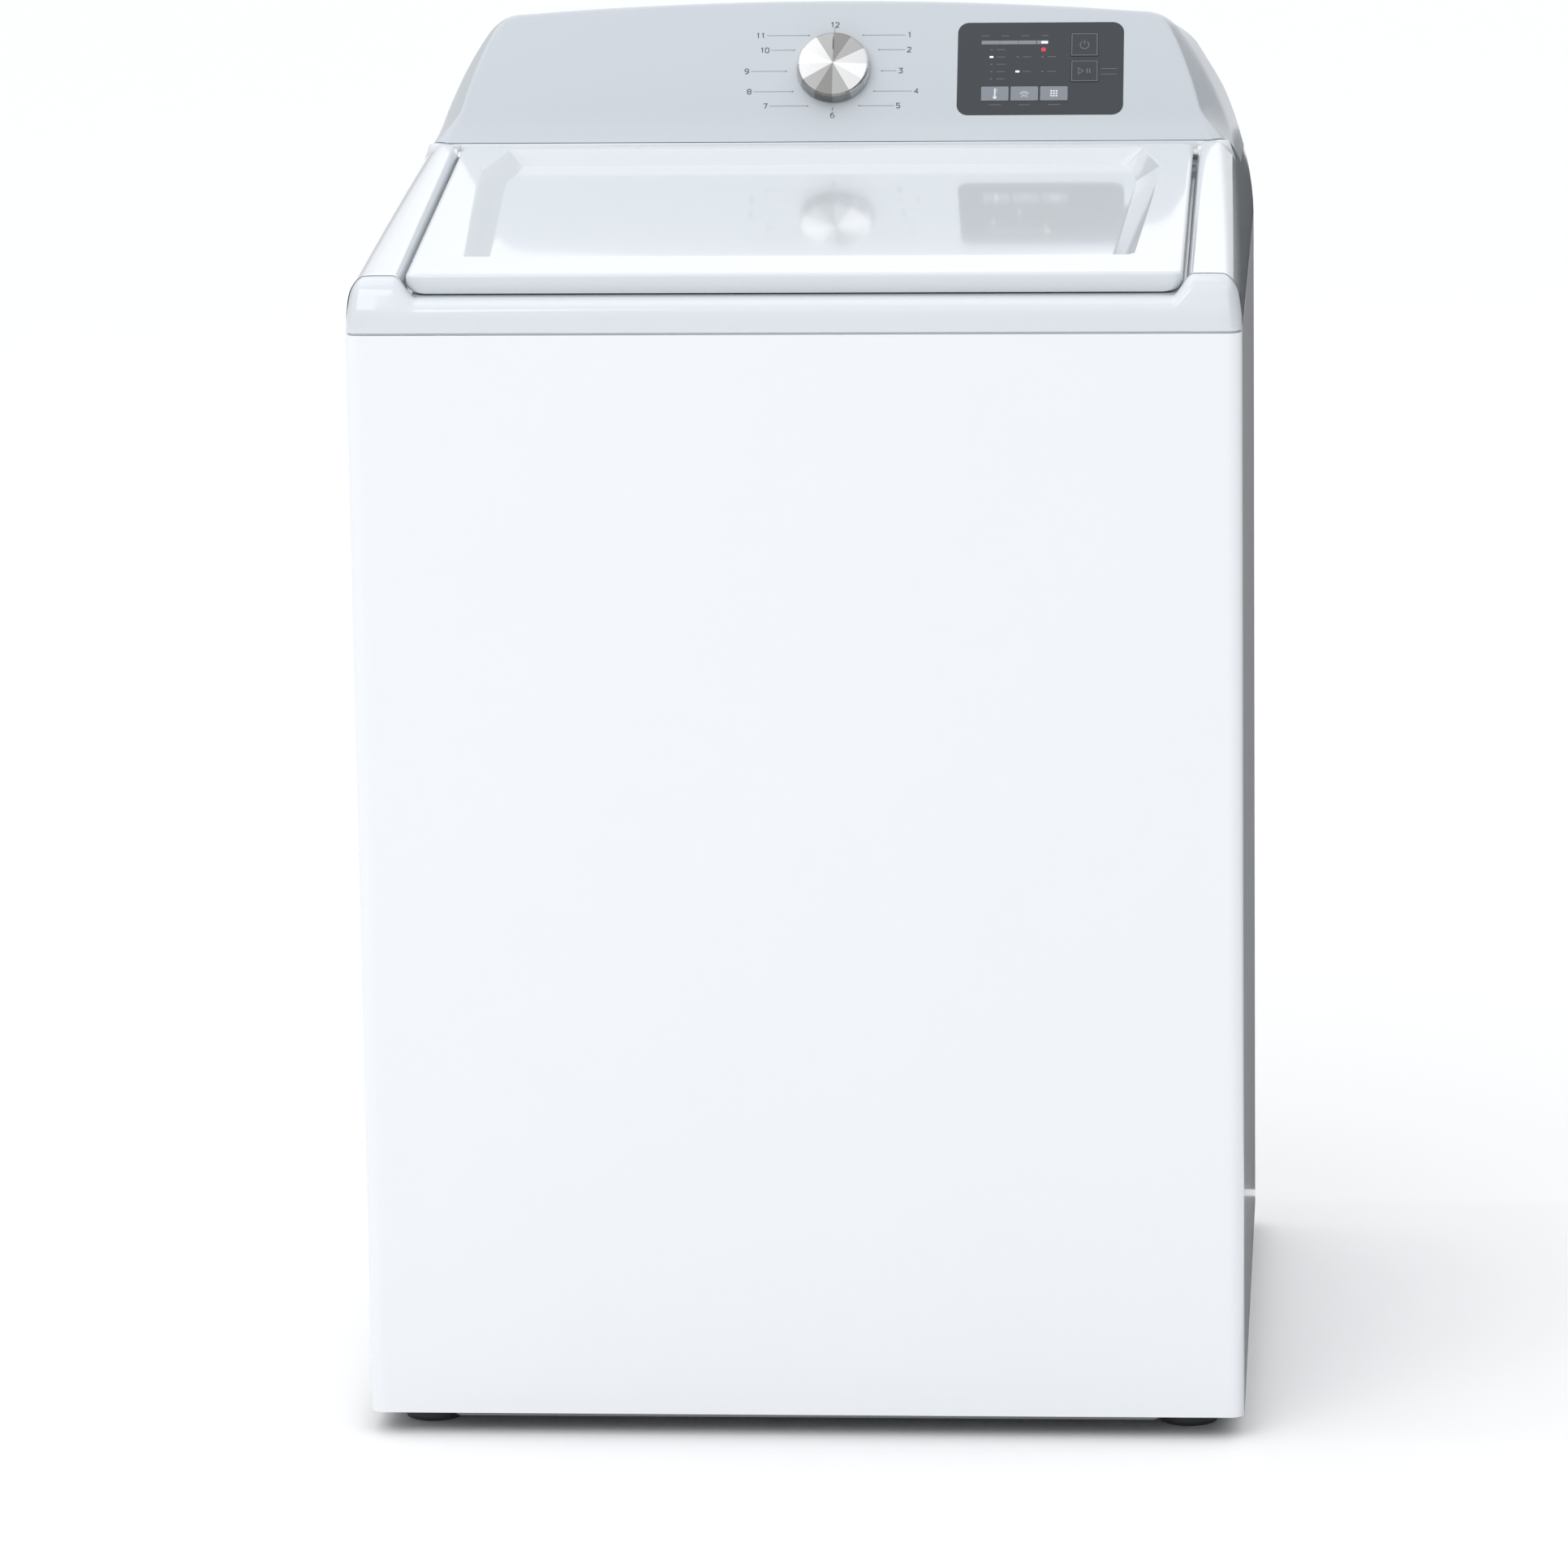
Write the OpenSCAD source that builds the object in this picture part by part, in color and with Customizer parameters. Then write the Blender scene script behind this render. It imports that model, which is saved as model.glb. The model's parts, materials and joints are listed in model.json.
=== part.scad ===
// Top load washing machine: every separate piece is one node.
// Units mm. +X right, -Y front, +Z up, floor at z = 0, centred on the whole width and depth.

/* [Cabinet] */
// Overall width
body_w = 698.5; // [680:0.5:720]
// Front plane to rear plane of the cabinet
body_d = 670; // [650:1:690]
// Depth that the rear hose ports add
port_len = 20; // [16:1:24]
// Height of the cabinet's lower edge above the floor
cab_z = 18; // [16:1:24]
// Height of the seam between cabinet and top cover
seam_z = 888; // [880:1:896]
// Sheet thickness of the painted steel
sheet = 1.2; // [0.8:0.1:1.6]
// Radius of the cabinet's front corners
corner_r = 12; // [8:1:16]

/* [Top and console] */
// Wall of the moulded top pieces
wall = 2.5; // [2:0.1:3]
// Lean of the control face from vertical
face_ang = 34; // [30:1:38]
// Length of the lid from front to rear
lid_len = 432; // [420:1:434]
// Width of the lid
lid_w = 606; // [590:1:610]
// Thickness of the lid
lid_t = 16; // [14:1:18]

/* [Controls] */
// Radius of the cycle knob
knob_r = 30.5; // [26:0.5:32]
// Travel of a key
key_travel = 0.8; // [0.5:0.1:1]

/* [Wash system] */
// Outside radius of the tub wall
tub_r = 286; // [280:1:290]
// Inside radius of the basket
basket_r = 262; // [250:1:264]
// Radius of the agitator's skirt
skirt_r = 168; // [150:1:180]
// Radius of the driven pulley
pulley_r = 95; // [85:1:100]
// Radius of the motor pulley
motor_pulley_r = 19; // [16:1:24]

/* [Hidden] */
$fn = 96;
hw = body_w / 2;
depth_all = body_d + port_len;
y0 = -depth_all / 2;
y1 = y0 + body_d;
deck_y = y0 + 20;
deck_z = seam_z + 45.5;
deck_ang = 6;
face_y = y0 + 461;
face_z = seam_z + 92;
face_top = 122.8;
crest_z = seam_z + 200;
gap = 1.5;
tub_y = -22;
rod_x = 292;
rod_dy = 262;
rod_r = 4;
foot_x = 304;
foot_yf = y0 + 60;
foot_yr = y1 - 50;
knob_u = 3;
knob_v = 65.5;
shaft_r = 9.97;
tube_r = 15.95;
pump_x = -175;
pump_y = tub_y - 95;
motor_x = 118;
motor_y = tub_y + 118;
belt_len = sqrt(pow(motor_x, 2) + pow(motor_y - tub_y, 2));
belt_z = 112;
port_z = seam_z + 92;
port_x = [-232, -172];
fill_x = -145;
fill_y = y1 - 39;
drain_x = -262;
drain_z = seam_z - 90;
gland_x = 250;
gland_z = seam_z - 60;
hinge_v = lid_len - 8;
hinge_w = -7.5;

function arc(cy, cz, r, a0, a1, n) =
  [for (i = [0:n]) let (a = a0 + (a1 - a0) * i / n) [cy + r * cos(a), cz + r * sin(a)]];

// Point at t on a cubic curve
function cubic(p, t) =
  pow(1 - t, 3) * p[0] + 3 * pow(1 - t, 2) * t * p[1] + 3 * (1 - t) * pow(t, 2) * p[2] + pow(t, 3) * p[3];

// Right half of the front outline of the top pieces: flank, shoulder and crest
flank = [[hw, 0], [hw, 52], [hw - 23.6, 115.3], [hw - 56.2, 164]];
shoulder = [[hw - 56.2, 164], [hw - 64, 175.6], [hw - 76.5, 190.4], [hw - 92.5, 191.5]];
right_half = concat(
  [for (i = [0:14]) cubic(flank, i / 14)],
  [for (i = [1:8]) cubic(shoulder, i / 8)],
  [for (i = [4:-1:0]) let (x = i / 5 * (hw - 92.5)) [x, 200 - 8.5 * pow(i / 5, 2)]]
);

function deck_h(y) = deck_z + (y - deck_y) * tan(deck_ang);

module prism_x(xa, xb) {
  translate([xa, 0, 0]) rotate([90, 0, 90]) linear_extrude(xb - xa) children();
}

module prism_y(ya, yb) {
  translate([0, yb, 0]) rotate([90, 0, 0]) linear_extrude(yb - ya) children();
}

module rounded(w, d, r) {
  square([w - 2 * r, d], center = true);
  square([w, d - 2 * r], center = true);
  for (sx = [-1, 1], sy = [-1, 1]) translate([sx * (w / 2 - r), sy * (d / 2 - r)]) circle(r);
}

// Cabinet outline in plan, moved inwards by t
module plan(t) {
  translate([-hw + t, y0 + corner_r]) square([2 * (hw - t), body_d - corner_r - t]);
  translate([-hw + corner_r, y0 + t]) square([2 * (hw - corner_r), corner_r]);
  for (sx = [-1, 1]) translate([sx * (hw - corner_r), y0 + corner_r]) circle(corner_r - t);
}

// Front outline of the top pieces
module bell2d() {
  n = len(right_half);
  translate([0, seam_z]) polygon(concat(
    right_half,
    [for (i = [n - 2:-1:0]) [-right_half[i][0], right_half[i][1]]]
  ));
}

// Side outline of the top cover
module cover2d() {
  polygon(concat(
    [[y0, seam_z + 2], [y0 + 0.6, seam_z + 14], [y0 + 3, seam_z + 26]],
    arc(y0 + 22, seam_z + 28, 17.5, 170, 96, 6),
    [[face_y, deck_h(face_y)], [face_y + 38, deck_h(face_y) - 14],
     [face_y + 78, seam_z + 62], [y1, seam_z + 62], [y1, seam_z + 2]]
  ));
}

// Side outline of the console
module console2d() {
  fy = face_y + face_top * sin(face_ang);
  fz = face_z + face_top * cos(face_ang);
  polygon(concat(
    [[face_y, face_z + 0.6], [fy, fz]],
    [for (i = [1:5]) let (a = 146 - 9 * i) [fy + 11.6 + 14 * cos(a), fz - 7.8 + 14 * sin(a)]],
    [[y1 - 14, crest_z - 17], [y1 - 4, crest_z - 22], [y1, crest_z - 32], [y1, seam_z + 63],
     [face_y + 78.4, seam_z + 63], [face_y + 38.4, deck_h(face_y) - 13]]
  ));
}

module on_deck() {
  translate([0, deck_y, deck_z]) rotate([deck_ang, 0, 0]) children();
}

module on_face(u, v) {
  translate([u, face_y + v * sin(face_ang), face_z + v * cos(face_ang)])
    rotate([90 - face_ang, 0, 0]) children();
}

module at_tub() {
  translate([0, tub_y, 0]) children();
}

module at_rods() {
  for (sx = [-1, 1], sy = [-1, 1]) translate([sx * rod_x, tub_y + sy * rod_dy, 0]) children();
}

module at_feet() {
  for (sx = [-1, 1], y = [foot_yf, foot_yr]) translate([sx * foot_x, y, 0]) children();
}

module ring(ra, rb, za, zb) {
  translate([0, 0, za]) difference() {
    cylinder(r = rb, h = zb - za);
    translate([0, 0, -1]) cylinder(r = ra, h = zb - za + 2);
  }
}

// Rounded block lying in the deck plane, grown by g, from height wa to wb
module lid_block(g, wa, wb) {
  on_deck() translate([0, lid_len / 2, wa]) linear_extrude(wb - wa)
    rounded(lid_w + 2 * g, lid_len + 2 * g, 8 + g);
}

// Tapered hollow in the lid's top, grown by g
module lid_recess(g) {
  on_deck() intersection() {
    prism_y(57 - g, 417 + g)
      polygon([[-278 - g, 1], [278 + g, 1], [256 + g, -11 - g], [-256 - g, -11 - g]]);
    prism_x(-300, 300)
      polygon([[57 - g, 1], [417 + g, 1], [405 + g, -11 - g], [61 - g, -11 - g]]);
    translate([0, 0, -20]) linear_extrude(22)
      polygon([[-264 - g, 57 - g], [264 + g, 57 - g], [278 + g, 330], [278 + g, 350],
               [262 + g, 417 + g], [-262 - g, 417 + g], [-278 - g, 350], [-278 - g, 330]]);
  }
}

// ---- fixed cabinet ----

module cabinet_shell() color([0.93, 0.94, 0.95]) {
  difference() {
    translate([0, 0, cab_z]) linear_extrude(seam_z - cab_z) plan(0);
    translate([0, 0, cab_z - 1]) linear_extrude(seam_z - cab_z + 2) plan(sheet);
    translate([-hw + 20, y1 - 5, cab_z + 20]) cube([body_w - 40, 10, seam_z - cab_z - 28]);
  }
  // inward flange that the top cover stands on
  translate([0, 0, seam_z - 1.2]) linear_extrude(1.2) difference() {
    plan(0.6);
    translate([0, (y0 + y1) / 2]) rounded(body_w - 36, body_d - 36, 6);
  }
  // corner gussets that carry the suspension
  for (sx = [-1, 1], sy = [-1, 1]) difference() {
    edge = sy > 0 ? 2.9 : 0.6;
    translate([0, (y0 + y1) / 2, seam_z - 46]) linear_extrude(3)
      polygon([[sx * (hw - 0.6), sy * (body_d / 2 - 175)], [sx * (hw - 0.6), sy * (body_d / 2 - 13)],
               [sx * (hw - 13), sy * (body_d / 2 - edge)], [sx * (hw - 175), sy * (body_d / 2 - edge)]]);
    translate([sx * rod_x, tub_y + sy * rod_dy, seam_z - 60]) cylinder(r = 9, h = 40);
  }
}

module rear_panel() color([0.78, 0.79, 0.8]) difference() {
  union() {
    translate([-hw + 3, y1 - 2.6, cab_z + 2.4]) cube([body_w - 6, 1.2, seam_z - cab_z - 4.4]);
    for (z = [180, 380, 580]) translate([-230, y1 - 2, z]) cube([460, 4, 26]);
    translate([drain_x - 26, y1 - 2, drain_z - 26]) cube([52, 3, 52]);
    translate([gland_x - 22, y1 - 2, gland_z - 22]) cube([44, 3, 44]);
  }
  for (z = [180, 380, 580]) translate([-228.8, y1 - 3, z + 1.2]) cube([457.6, 3.8, 23.6]);
  translate([drain_x, y1 - 20, drain_z]) rotate([-90, 0, 0]) cylinder(r = 13, h = 40);
  translate([gland_x, y1 - 20, gland_z]) rotate([-90, 0, 0]) cylinder(r = 11, h = 40);
  // louvres
  for (x = [-1, 1], i = [0:5]) translate([x * 150 - 45, y1 - 5, 70 + 12 * i]) cube([90, 10, 4]);
}

module base_frame() color([0.52, 0.54, 0.56]) {
  difference() {
    union() {
      translate([0, 0, cab_z + 0.2]) linear_extrude(2) difference() {
        plan(sheet + 0.3);
        translate([0, (y0 + y1) / 2]) rounded(body_w - 130, body_d - 120, 40);
      }
      translate([0, 0, cab_z + 0.2]) linear_extrude(22) difference() {
        translate([0, (y0 + y1) / 2]) rounded(body_w - 127, body_d - 117, 41.5);
        translate([0, (y0 + y1) / 2]) rounded(body_w - 130, body_d - 120, 40);
      }
      // lip that shows below the front edge
      prism_y(y0 + 5, y0 + 6.6)
        polygon([[-286, cab_z + 1], [286, cab_z + 1], [278, cab_z - 3.4], [-278, cab_z - 3.4]]);
      at_feet() translate([0, 0, cab_z + 0.2]) cylinder(r = 20, h = 3.4);
    }
    at_feet() translate([0, 0, cab_z - 10]) cylinder(r = 6.2, h = 40);
  }
}

module foot_nuts() color([0.62, 0.63, 0.64]) at_feet() difference() {
  translate([0, 0, cab_z + 3.6]) cylinder(r = 9.8, h = 8, $fn = 6);
  translate([0, 0, cab_z]) cylinder(r = 5, h = 20);
}

module foot() {
  color([0.27, 0.28, 0.29]) {
    cylinder(r1 = 22.6, r2 = 24, h = 3);
    translate([0, 0, 3]) cylinder(r = 24, h = 9);
    translate([0, 0, 12]) cylinder(r1 = 24, r2 = 20, h = 2);
    translate([0, 0, 13]) cylinder(r = 4.95, h = 50);
  }
}

module foot_front_left() translate([-foot_x, foot_yf, 0]) foot();
module foot_front_right() translate([foot_x, foot_yf, 0]) foot();
module foot_rear_left() translate([-foot_x, foot_yr, 0]) foot();
module foot_rear_right() translate([foot_x, foot_yr, 0]) foot();

module edge_cut(s) {
  translate([s * (hw - 5.3), y0 + 10, deck_h(y0 + 10)])
    rotate([6.1, 0, s * 1.67]) rotate([0, s * 45, 0])
      translate([-30, -60, -5]) cube([60, 540, 30]);
}

module cover_outer(t) {
  intersection() {
    prism_y(y0 - 1, y1 + 1) offset(delta = -t) bell2d();
    prism_x(-hw, hw) offset(delta = -t) cover2d();
    translate([0, 0, seam_z - 5]) linear_extrude(200) plan(t);
  }
}

module top_cover() color([0.93, 0.94, 0.95]) difference() {
  union() {
    difference() {
      cover_outer(0);
      difference() {
        union() {
          cover_outer(wall);
          translate([0, 0, seam_z - 2]) linear_extrude(8) plan(wall);
        }
        lid_block(4.5 + wall, -lid_t - gap - wall, 60);
        on_deck() translate([-lid_w / 2 - 7, -60, -lid_t - gap - wall])
          cube([lid_w + 14, 120, 60]);
        for (s = [-1, 1]) translate([-s * 3.4, 0, -3.6]) edge_cut(s);
      }
      lid_block(4.5, -lid_t - gap, 60);
      on_deck() {
        translate([-lid_w / 2 - 3, -60, -lid_t - gap]) cube([lid_w + 6, 80, 60]);
        // square rear corners, which the opening lid swings into
        translate([-lid_w / 2 - 4.5, lid_len - 30, -lid_t - gap]) cube([lid_w + 9, 34.5, 60]);
      }
      for (s = [-1, 1]) edge_cut(s);
    }
    // rim that stands on the cabinet
    translate([0, 0, seam_z + 0.05]) linear_extrude(6) difference() {
      plan(2);
      plan(5);
    }
    // funnel wall round the wash opening
    on_deck() translate([0, 222, -56]) linear_extrude(56 - lid_t - gap - 0.5) difference() {
      rounded(482, 352, 90);
      rounded(476, 346, 87);
    }
  }
  on_deck() translate([0, 222, -80]) linear_extrude(80) rounded(476, 346, 87);
  // hinge sockets
  on_deck() translate([-322, hinge_v, hinge_w]) rotate([0, 90, 0]) cylinder(r = 6.55, h = 644);
  // slot for the lid's strike
  on_deck() translate([258, 56, -40]) cube([20, 34, 40]);
  // passages for the fill duct and the bleach cup
  translate([fill_x - 16, fill_y - 16, seam_z + 50]) cube([32, 32, 30]);
  on_deck() translate([-270, 110, -40]) linear_extrude(40) rounded(47, 91, 4.5);
}

module lid_lock() color([0.2, 0.21, 0.22]) on_deck() difference() {
  translate([252, 48, -46]) cube([32, 62, 25.5]);
  translate([257, 55, -42]) cube([22, 36, 30]);
}

module lid_bumpers() color([0.25, 0.25, 0.26]) on_deck()
  for (x = [-280, 280], v = [22, 330]) translate([x, v, -lid_t - gap]) cylinder(r = 6, h = 1.4);

module hinge_bushings() color([0.85, 0.86, 0.87]) on_deck() for (s = [-1, 1])
  translate([s * 313, hinge_v, hinge_w]) rotate([0, 90, 0]) difference() {
    translate([0, 0, -6.5]) cylinder(r = 6.5, h = 13);
    translate([0, 0, -10]) cylinder(r = 5, h = 20);
  }

module bleach_dispenser() color([0.86, 0.87, 0.88]) on_deck() difference() {
  union() {
    translate([-270, 110, -46]) linear_extrude(46 - lid_t - gap) rounded(46, 90, 4);
    translate([-270, 110, -lid_t - gap]) linear_extrude(1) rounded(56, 100, 9);
    translate([-278, 98, -68]) cube([64, 24, 10]);
    translate([-278, 98, -60]) cube([18, 24, 15]);
  }
  translate([-270, 110, -44]) linear_extrude(60) rounded(42, 86, 2);
  translate([-276, 100, -66]) cube([80, 20, 6]);
  translate([-276, 100, -66]) cube([14, 20, 30]);
}

module fill_nozzle() color([0.3, 0.31, 0.33]) difference() {
  union() {
    translate([fill_x - 30, face_y - 66, seam_z + 10]) cube([60, fill_y + 14 - face_y + 66, 11]);
    translate([fill_x - 14, fill_y - 14, seam_z + 10]) cube([28, 28, 68]);
  }
  translate([fill_x - 28, face_y - 70, seam_z + 12]) cube([56, fill_y + 12 - face_y + 70, 7]);
  translate([fill_x - 12, fill_y - 12, seam_z + 12]) cube([24, 24, 80]);
}

module water_inlet_valve() color([0.88, 0.88, 0.85]) {
  for (x = port_x) translate([x, 0, port_z]) {
    difference() {
      union() {
        translate([0, y1 - 30, 0]) rotate([-90, 0, 0]) cylinder(r = 13.4, h = 50);
        translate([0, y1 - 36, 0]) rotate([-90, 0, 0]) cylinder(r = 16, h = 10);
      }
      translate([0, y1 - 26, 0]) rotate([-90, 0, 0]) cylinder(r = 9.5, h = 60);
    }
    translate([0, y1 - 39, -10]) cylinder(r = 12, h = 44);
  }
  translate([port_x[0] - 10, y1 - 51, port_z - 10]) cube([port_x[1] - port_x[0] + 20, 24, 20]);
  translate([port_x[1], fill_y, port_z]) rotate([0, 90, 0]) cylinder(r = 8, h = fill_x - port_x[1] + 8);
  translate([fill_x, fill_y, port_z - 22]) cylinder(r = 8, h = 22);
}

module drain_outlet() color([0.3, 0.31, 0.33]) translate([drain_x, 0, drain_z]) difference() {
  union() {
    translate([0, y1 - 24, 0]) rotate([-90, 0, 0]) cylinder(r = 12, h = 26);
    translate([0, y1 + 1.4, 0]) rotate([-90, 0, 0]) cylinder(r = 12.5, h = port_len - 1.4);
    translate([0, y1 - 8, 0]) rotate([-90, 0, 0]) cylinder(r = 18, h = 5);
  }
  translate([0, y1 - 30, 0]) rotate([-90, 0, 0]) cylinder(r = 9.5, h = 80);
}

module cord_gland() color([0.16, 0.16, 0.17]) translate([gland_x, 0, gland_z]) difference() {
  union() {
    translate([0, y1 - 8, 0]) rotate([-90, 0, 0]) cylinder(r = 10.9, h = 14);
    translate([0, y1 + 1.1, 0]) rotate([-90, 0, 0]) cylinder(r = 14, h = 5);
    translate([0, y1 - 7, 0]) rotate([-90, 0, 0]) cylinder(r = 14, h = 4);
  }
  translate([0, y1 - 20, 0]) rotate([-90, 0, 0]) cylinder(r = 4.6, h = 60);
}

module screw(r) {
  cylinder(r = r, h = 3.6, $fn = 6);
  cylinder(r = r + 2.2, h = 0.8);
  translate([0, 0, -8]) cylinder(r = r * 0.45, h = 8.4);
}

module rear_screws() color([0.7, 0.71, 0.72]) {
  for (s = [-1, 1], z = [60, 240, 420, 600, 780])
    translate([s * (hw - 12), y1, z]) rotate([-90, 0, 0]) screw(4.2);
  for (x = [-255, -90, 90, 255])
    translate([x, y1 + 0.1, seam_z + 76]) rotate([-90, 0, 0]) screw(3.6);
}

module motor_capacitor() color([0.72, 0.73, 0.75]) {
  translate([hw - 46, y1 - 40, 130]) cylinder(r = 21, h = 96);
  for (x = [-7, 7]) translate([hw - 46 + x, y1 - 40, 226]) cube([5, 2, 20], center = true);
  translate([hw - 64, y1 - 19.6, 150]) cube([36, 16.8, 50]);
}

// ---- console ----

// Sloping planes that narrow the front of the console towards the control face
module side_cuts(t) {
  for (m = [0, 1]) mirror([m, 0, 0])
    translate([hw - 10.4 - t, face_y + 80, face_z]) rotate([0, -29.9, -13.2])
      translate([0, -150, -150]) cube([80, 300, 300]);
}

module console_outer(t) {
  difference() {
    intersection() {
      prism_y(y0, y1 + t) offset(delta = -t) bell2d();
      prism_x(-hw, hw) offset(delta = -t) console2d();
    }
    side_cuts(t * 1.18);
  }
}

module console_housing() color([0.85, 0.87, 0.89]) difference() {
  console_outer(0);
  console_outer(wall);
  // open rear and open foot
  translate([-hw + 24, y1 - 8, seam_z + 66]) cube([body_w - 48, 20, 26]);
  intersection() {
    prism_y(y1 - 8, y1 + 5) offset(delta = -wall) bell2d();
    translate([-hw, y1 - 8, seam_z + 40]) cube([body_w, 20, 118]);
  }
  difference() {
    intersection() {
      prism_y(face_y + 4, y1 - 6) offset(delta = -wall - 2) bell2d();
      prism_x(-hw, hw)
        polygon([[face_y + 7, face_z - 1], [face_y + 30, face_z + 20], [y1 - 8, face_z + 20],
                 [y1 - 8, seam_z + 50], [face_y + 70, seam_z + 50], [face_y + 30, face_z - 30]]);
    }
    side_cuts((wall + 2) * 1.18);
  }
  // seat and window of the control panel
  on_face(175, 66) translate([0, 0, -1.2]) linear_extrude(10) rounded(138.6, 86.6, 9.8);
  on_face(175, 66) translate([0, 0, -12]) linear_extrude(14) rounded(124, 72, 4);
  // hole for the knob's shaft
  on_face(knob_u, knob_v) translate([0, 0, -12]) cylinder(r = 6, h = 30);
}

module console_rear_cover() color([0.78, 0.79, 0.8]) difference() {
  intersection() {
    prism_y(y1 - 1.4, y1 - 0.2) offset(delta = -wall - 5.5) bell2d();
    translate([-hw, y1 - 8, seam_z + 64]) cube([body_w, 20, 93.4]);
  }
  for (x = port_x) translate([x, y1 - 10, port_z]) rotate([-90, 0, 0]) cylinder(r = 15, h = 30);
}

// One key by its centre and size
module key(u, v, w, h) {
  on_face(u, v) {
    translate([0, 0, -0.9]) linear_extrude(1.5) rounded(w, h, 0.8);
    translate([0, 0, -1.65]) linear_extrude(0.8) rounded(w + 0.8, h + 0.8, 0.8);
    translate([0, 0, -7]) cylinder(r = 2, h = 6);
  }
}

module key_hole(u, v, w, h) {
  translate([u - 175, v - 66, -5]) linear_extrude(10) rounded(w + 0.6, h + 0.6, 1);
  translate([u - 175, v - 66, -2.15 - key_travel]) linear_extrude(1.35 + key_travel)
    rounded(w + 1.4, h + 1.4, 1);
}

module control_panel() color([0.29, 0.31, 0.33]) on_face(175, 66) difference() {
  union() {
    translate([0, 0, -1.1]) linear_extrude(1.3) rounded(138, 86, 9.5);
    translate([0, 0, -2.6]) linear_extrude(2) rounded(123.4, 71.4, 3.7);
  }
  key_hole(211.4, 88, 22.4, 21.2);
  key_hole(211.6, 63.4, 22.4, 19.8);
  key_hole(137.5, 42.8, 22.8, 13);
  key_hole(162, 42.8, 22.8, 13);
  key_hole(186.5, 42.8, 22.8, 13);
}

module power_key() color([0.29, 0.31, 0.33]) key(211.4, 88, 22.4, 21.2);
module start_key() color([0.29, 0.31, 0.33]) key(211.6, 63.4, 22.4, 19.8);
module option_key_left() color([0.6, 0.61, 0.64]) key(137.5, 42.8, 22.8, 13);
module option_key_middle() color([0.6, 0.61, 0.64]) key(162, 42.8, 22.8, 13);
module option_key_right() color([0.6, 0.61, 0.64]) key(186.5, 42.8, 22.8, 13);

module control_board() color([0.1, 0.36, 0.2]) on_face(175, 66) {
  translate([0, 0, -12]) linear_extrude(1.6) rounded(122, 70, 3);
  for (p = [[211.4, 88], [211.6, 63.4], [137.5, 42.8], [162, 42.8], [186.5, 42.8]])
    translate([p[0] - 175, p[1] - 66, -10.5]) linear_extrude(2.4) square(6, center = true);
  translate([-52, -22, -22]) cube([30, 44, 10.4]);
  translate([-5, -26, -20]) cube([40, 14, 8.4]);
  // legs to the panel
  for (x = [-54, 54], y = [-29, 29]) translate([x, y, -10.5]) cylinder(r = 3, h = 7.8);
}

module dial_switch() color([0.2, 0.32, 0.5]) on_face(knob_u, knob_v) difference() {
  union() {
    translate([-16, -16, -18]) cube([32, 32, 15.3]);
    translate([0, 0, -4]) cylinder(r = 5.7, h = 4.8);
    translate([-24, -3, -5]) cube([48, 6, 2.3]);
  }
  translate([0, 0, -15]) cylinder(r = 3.05, h = 30);
}

module knob_shaft() color([0.6, 0.61, 0.62]) on_face(knob_u, knob_v)
  translate([0, 0, -14.5]) cylinder(r = 3, h = 22);

module cycle_knob() color([0.75, 0.76, 0.76]) on_face(knob_u, knob_v) difference() {
  union() {
    translate([0, 0, 1.2]) cylinder(r = knob_r, h = 1.6);
    translate([0, 0, 2.8]) cylinder(r1 = knob_r, r2 = knob_r - 1.2, h = 8.2);
    translate([0, 0, 11]) cylinder(r1 = knob_r - 1.4, r2 = 2, h = 3.4, $fn = 12);
  }
  translate([0, 0, -1]) cylinder(r = 3, h = 8.5);
  translate([0, 0, -1]) ring(8, 25, 0, 8);
  // pointer groove at the top
  translate([-0.8, 12, 12.6]) cube([1.6, 20, 6]);
}

// ---- lid ----

module lid_panel() color([0.93, 0.94, 0.95]) difference() {
  lid_block(0, -lid_t, 0);
  lid_recess(0);
  difference() {
    lid_block(-2, -lid_t - 1, -2);
    lid_recess(2);
  }
  on_deck() {
    // bevels along the front, the sides and both rear edges
    rotate([45, 0, 0]) translate([-320, -20, -1.8]) cube([640, 40, 20]);
    for (s = [-1, 1]) translate([s * lid_w / 2, 0, 0]) rotate([0, s * 45, 0])
      translate([-20, -10, -1.8]) cube([40, lid_len + 20, 20]);
    translate([0, lid_len, 0]) rotate([-45, 0, 0]) translate([-320, -20, -2.2]) cube([640, 40, 20]);
    translate([0, lid_len, -lid_t]) rotate([-135, 0, 0]) translate([-320, -20, -3.5])
      cube([640, 40, 20]);
    translate([-320, hinge_v, hinge_w]) rotate([0, 90, 0]) cylinder(r = 4.97, h = 640);
  }
}

module lid_liner() color([0.8, 0.82, 0.84]) on_deck() {
  translate([0, lid_len / 2 - 4, -lid_t]) linear_extrude(1.6) rounded(lid_w - 4.6, lid_len - 12, 5.7);
  for (x = [-288, 288]) translate([x - 1, 30, -lid_t + 1.5]) cube([2, 340, 10]);
}

module lid_hinge_pins() color([0.6, 0.61, 0.62]) on_deck() for (s = [-1, 1])
  translate([s * 302, hinge_v, hinge_w]) rotate([0, 90, 0]) {
    translate([0, 0, -15]) cylinder(r = 4.95, h = 30);
    translate([0, 0, s > 0 ? -14 : 10]) cylinder(r = 5.4, h = 4);
  }

module lid_strike() color([0.2, 0.21, 0.22]) on_deck() difference() {
  union() {
    translate([262, 60, -38]) cube([12, 24, 38 - lid_t]);
    translate([261, 56, -lid_t + 1.7]) cube([20, 32, 2]);
  }
  translate([260, 67, -34]) cube([16, 10, 9]);
}

// ---- suspension ----

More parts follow.
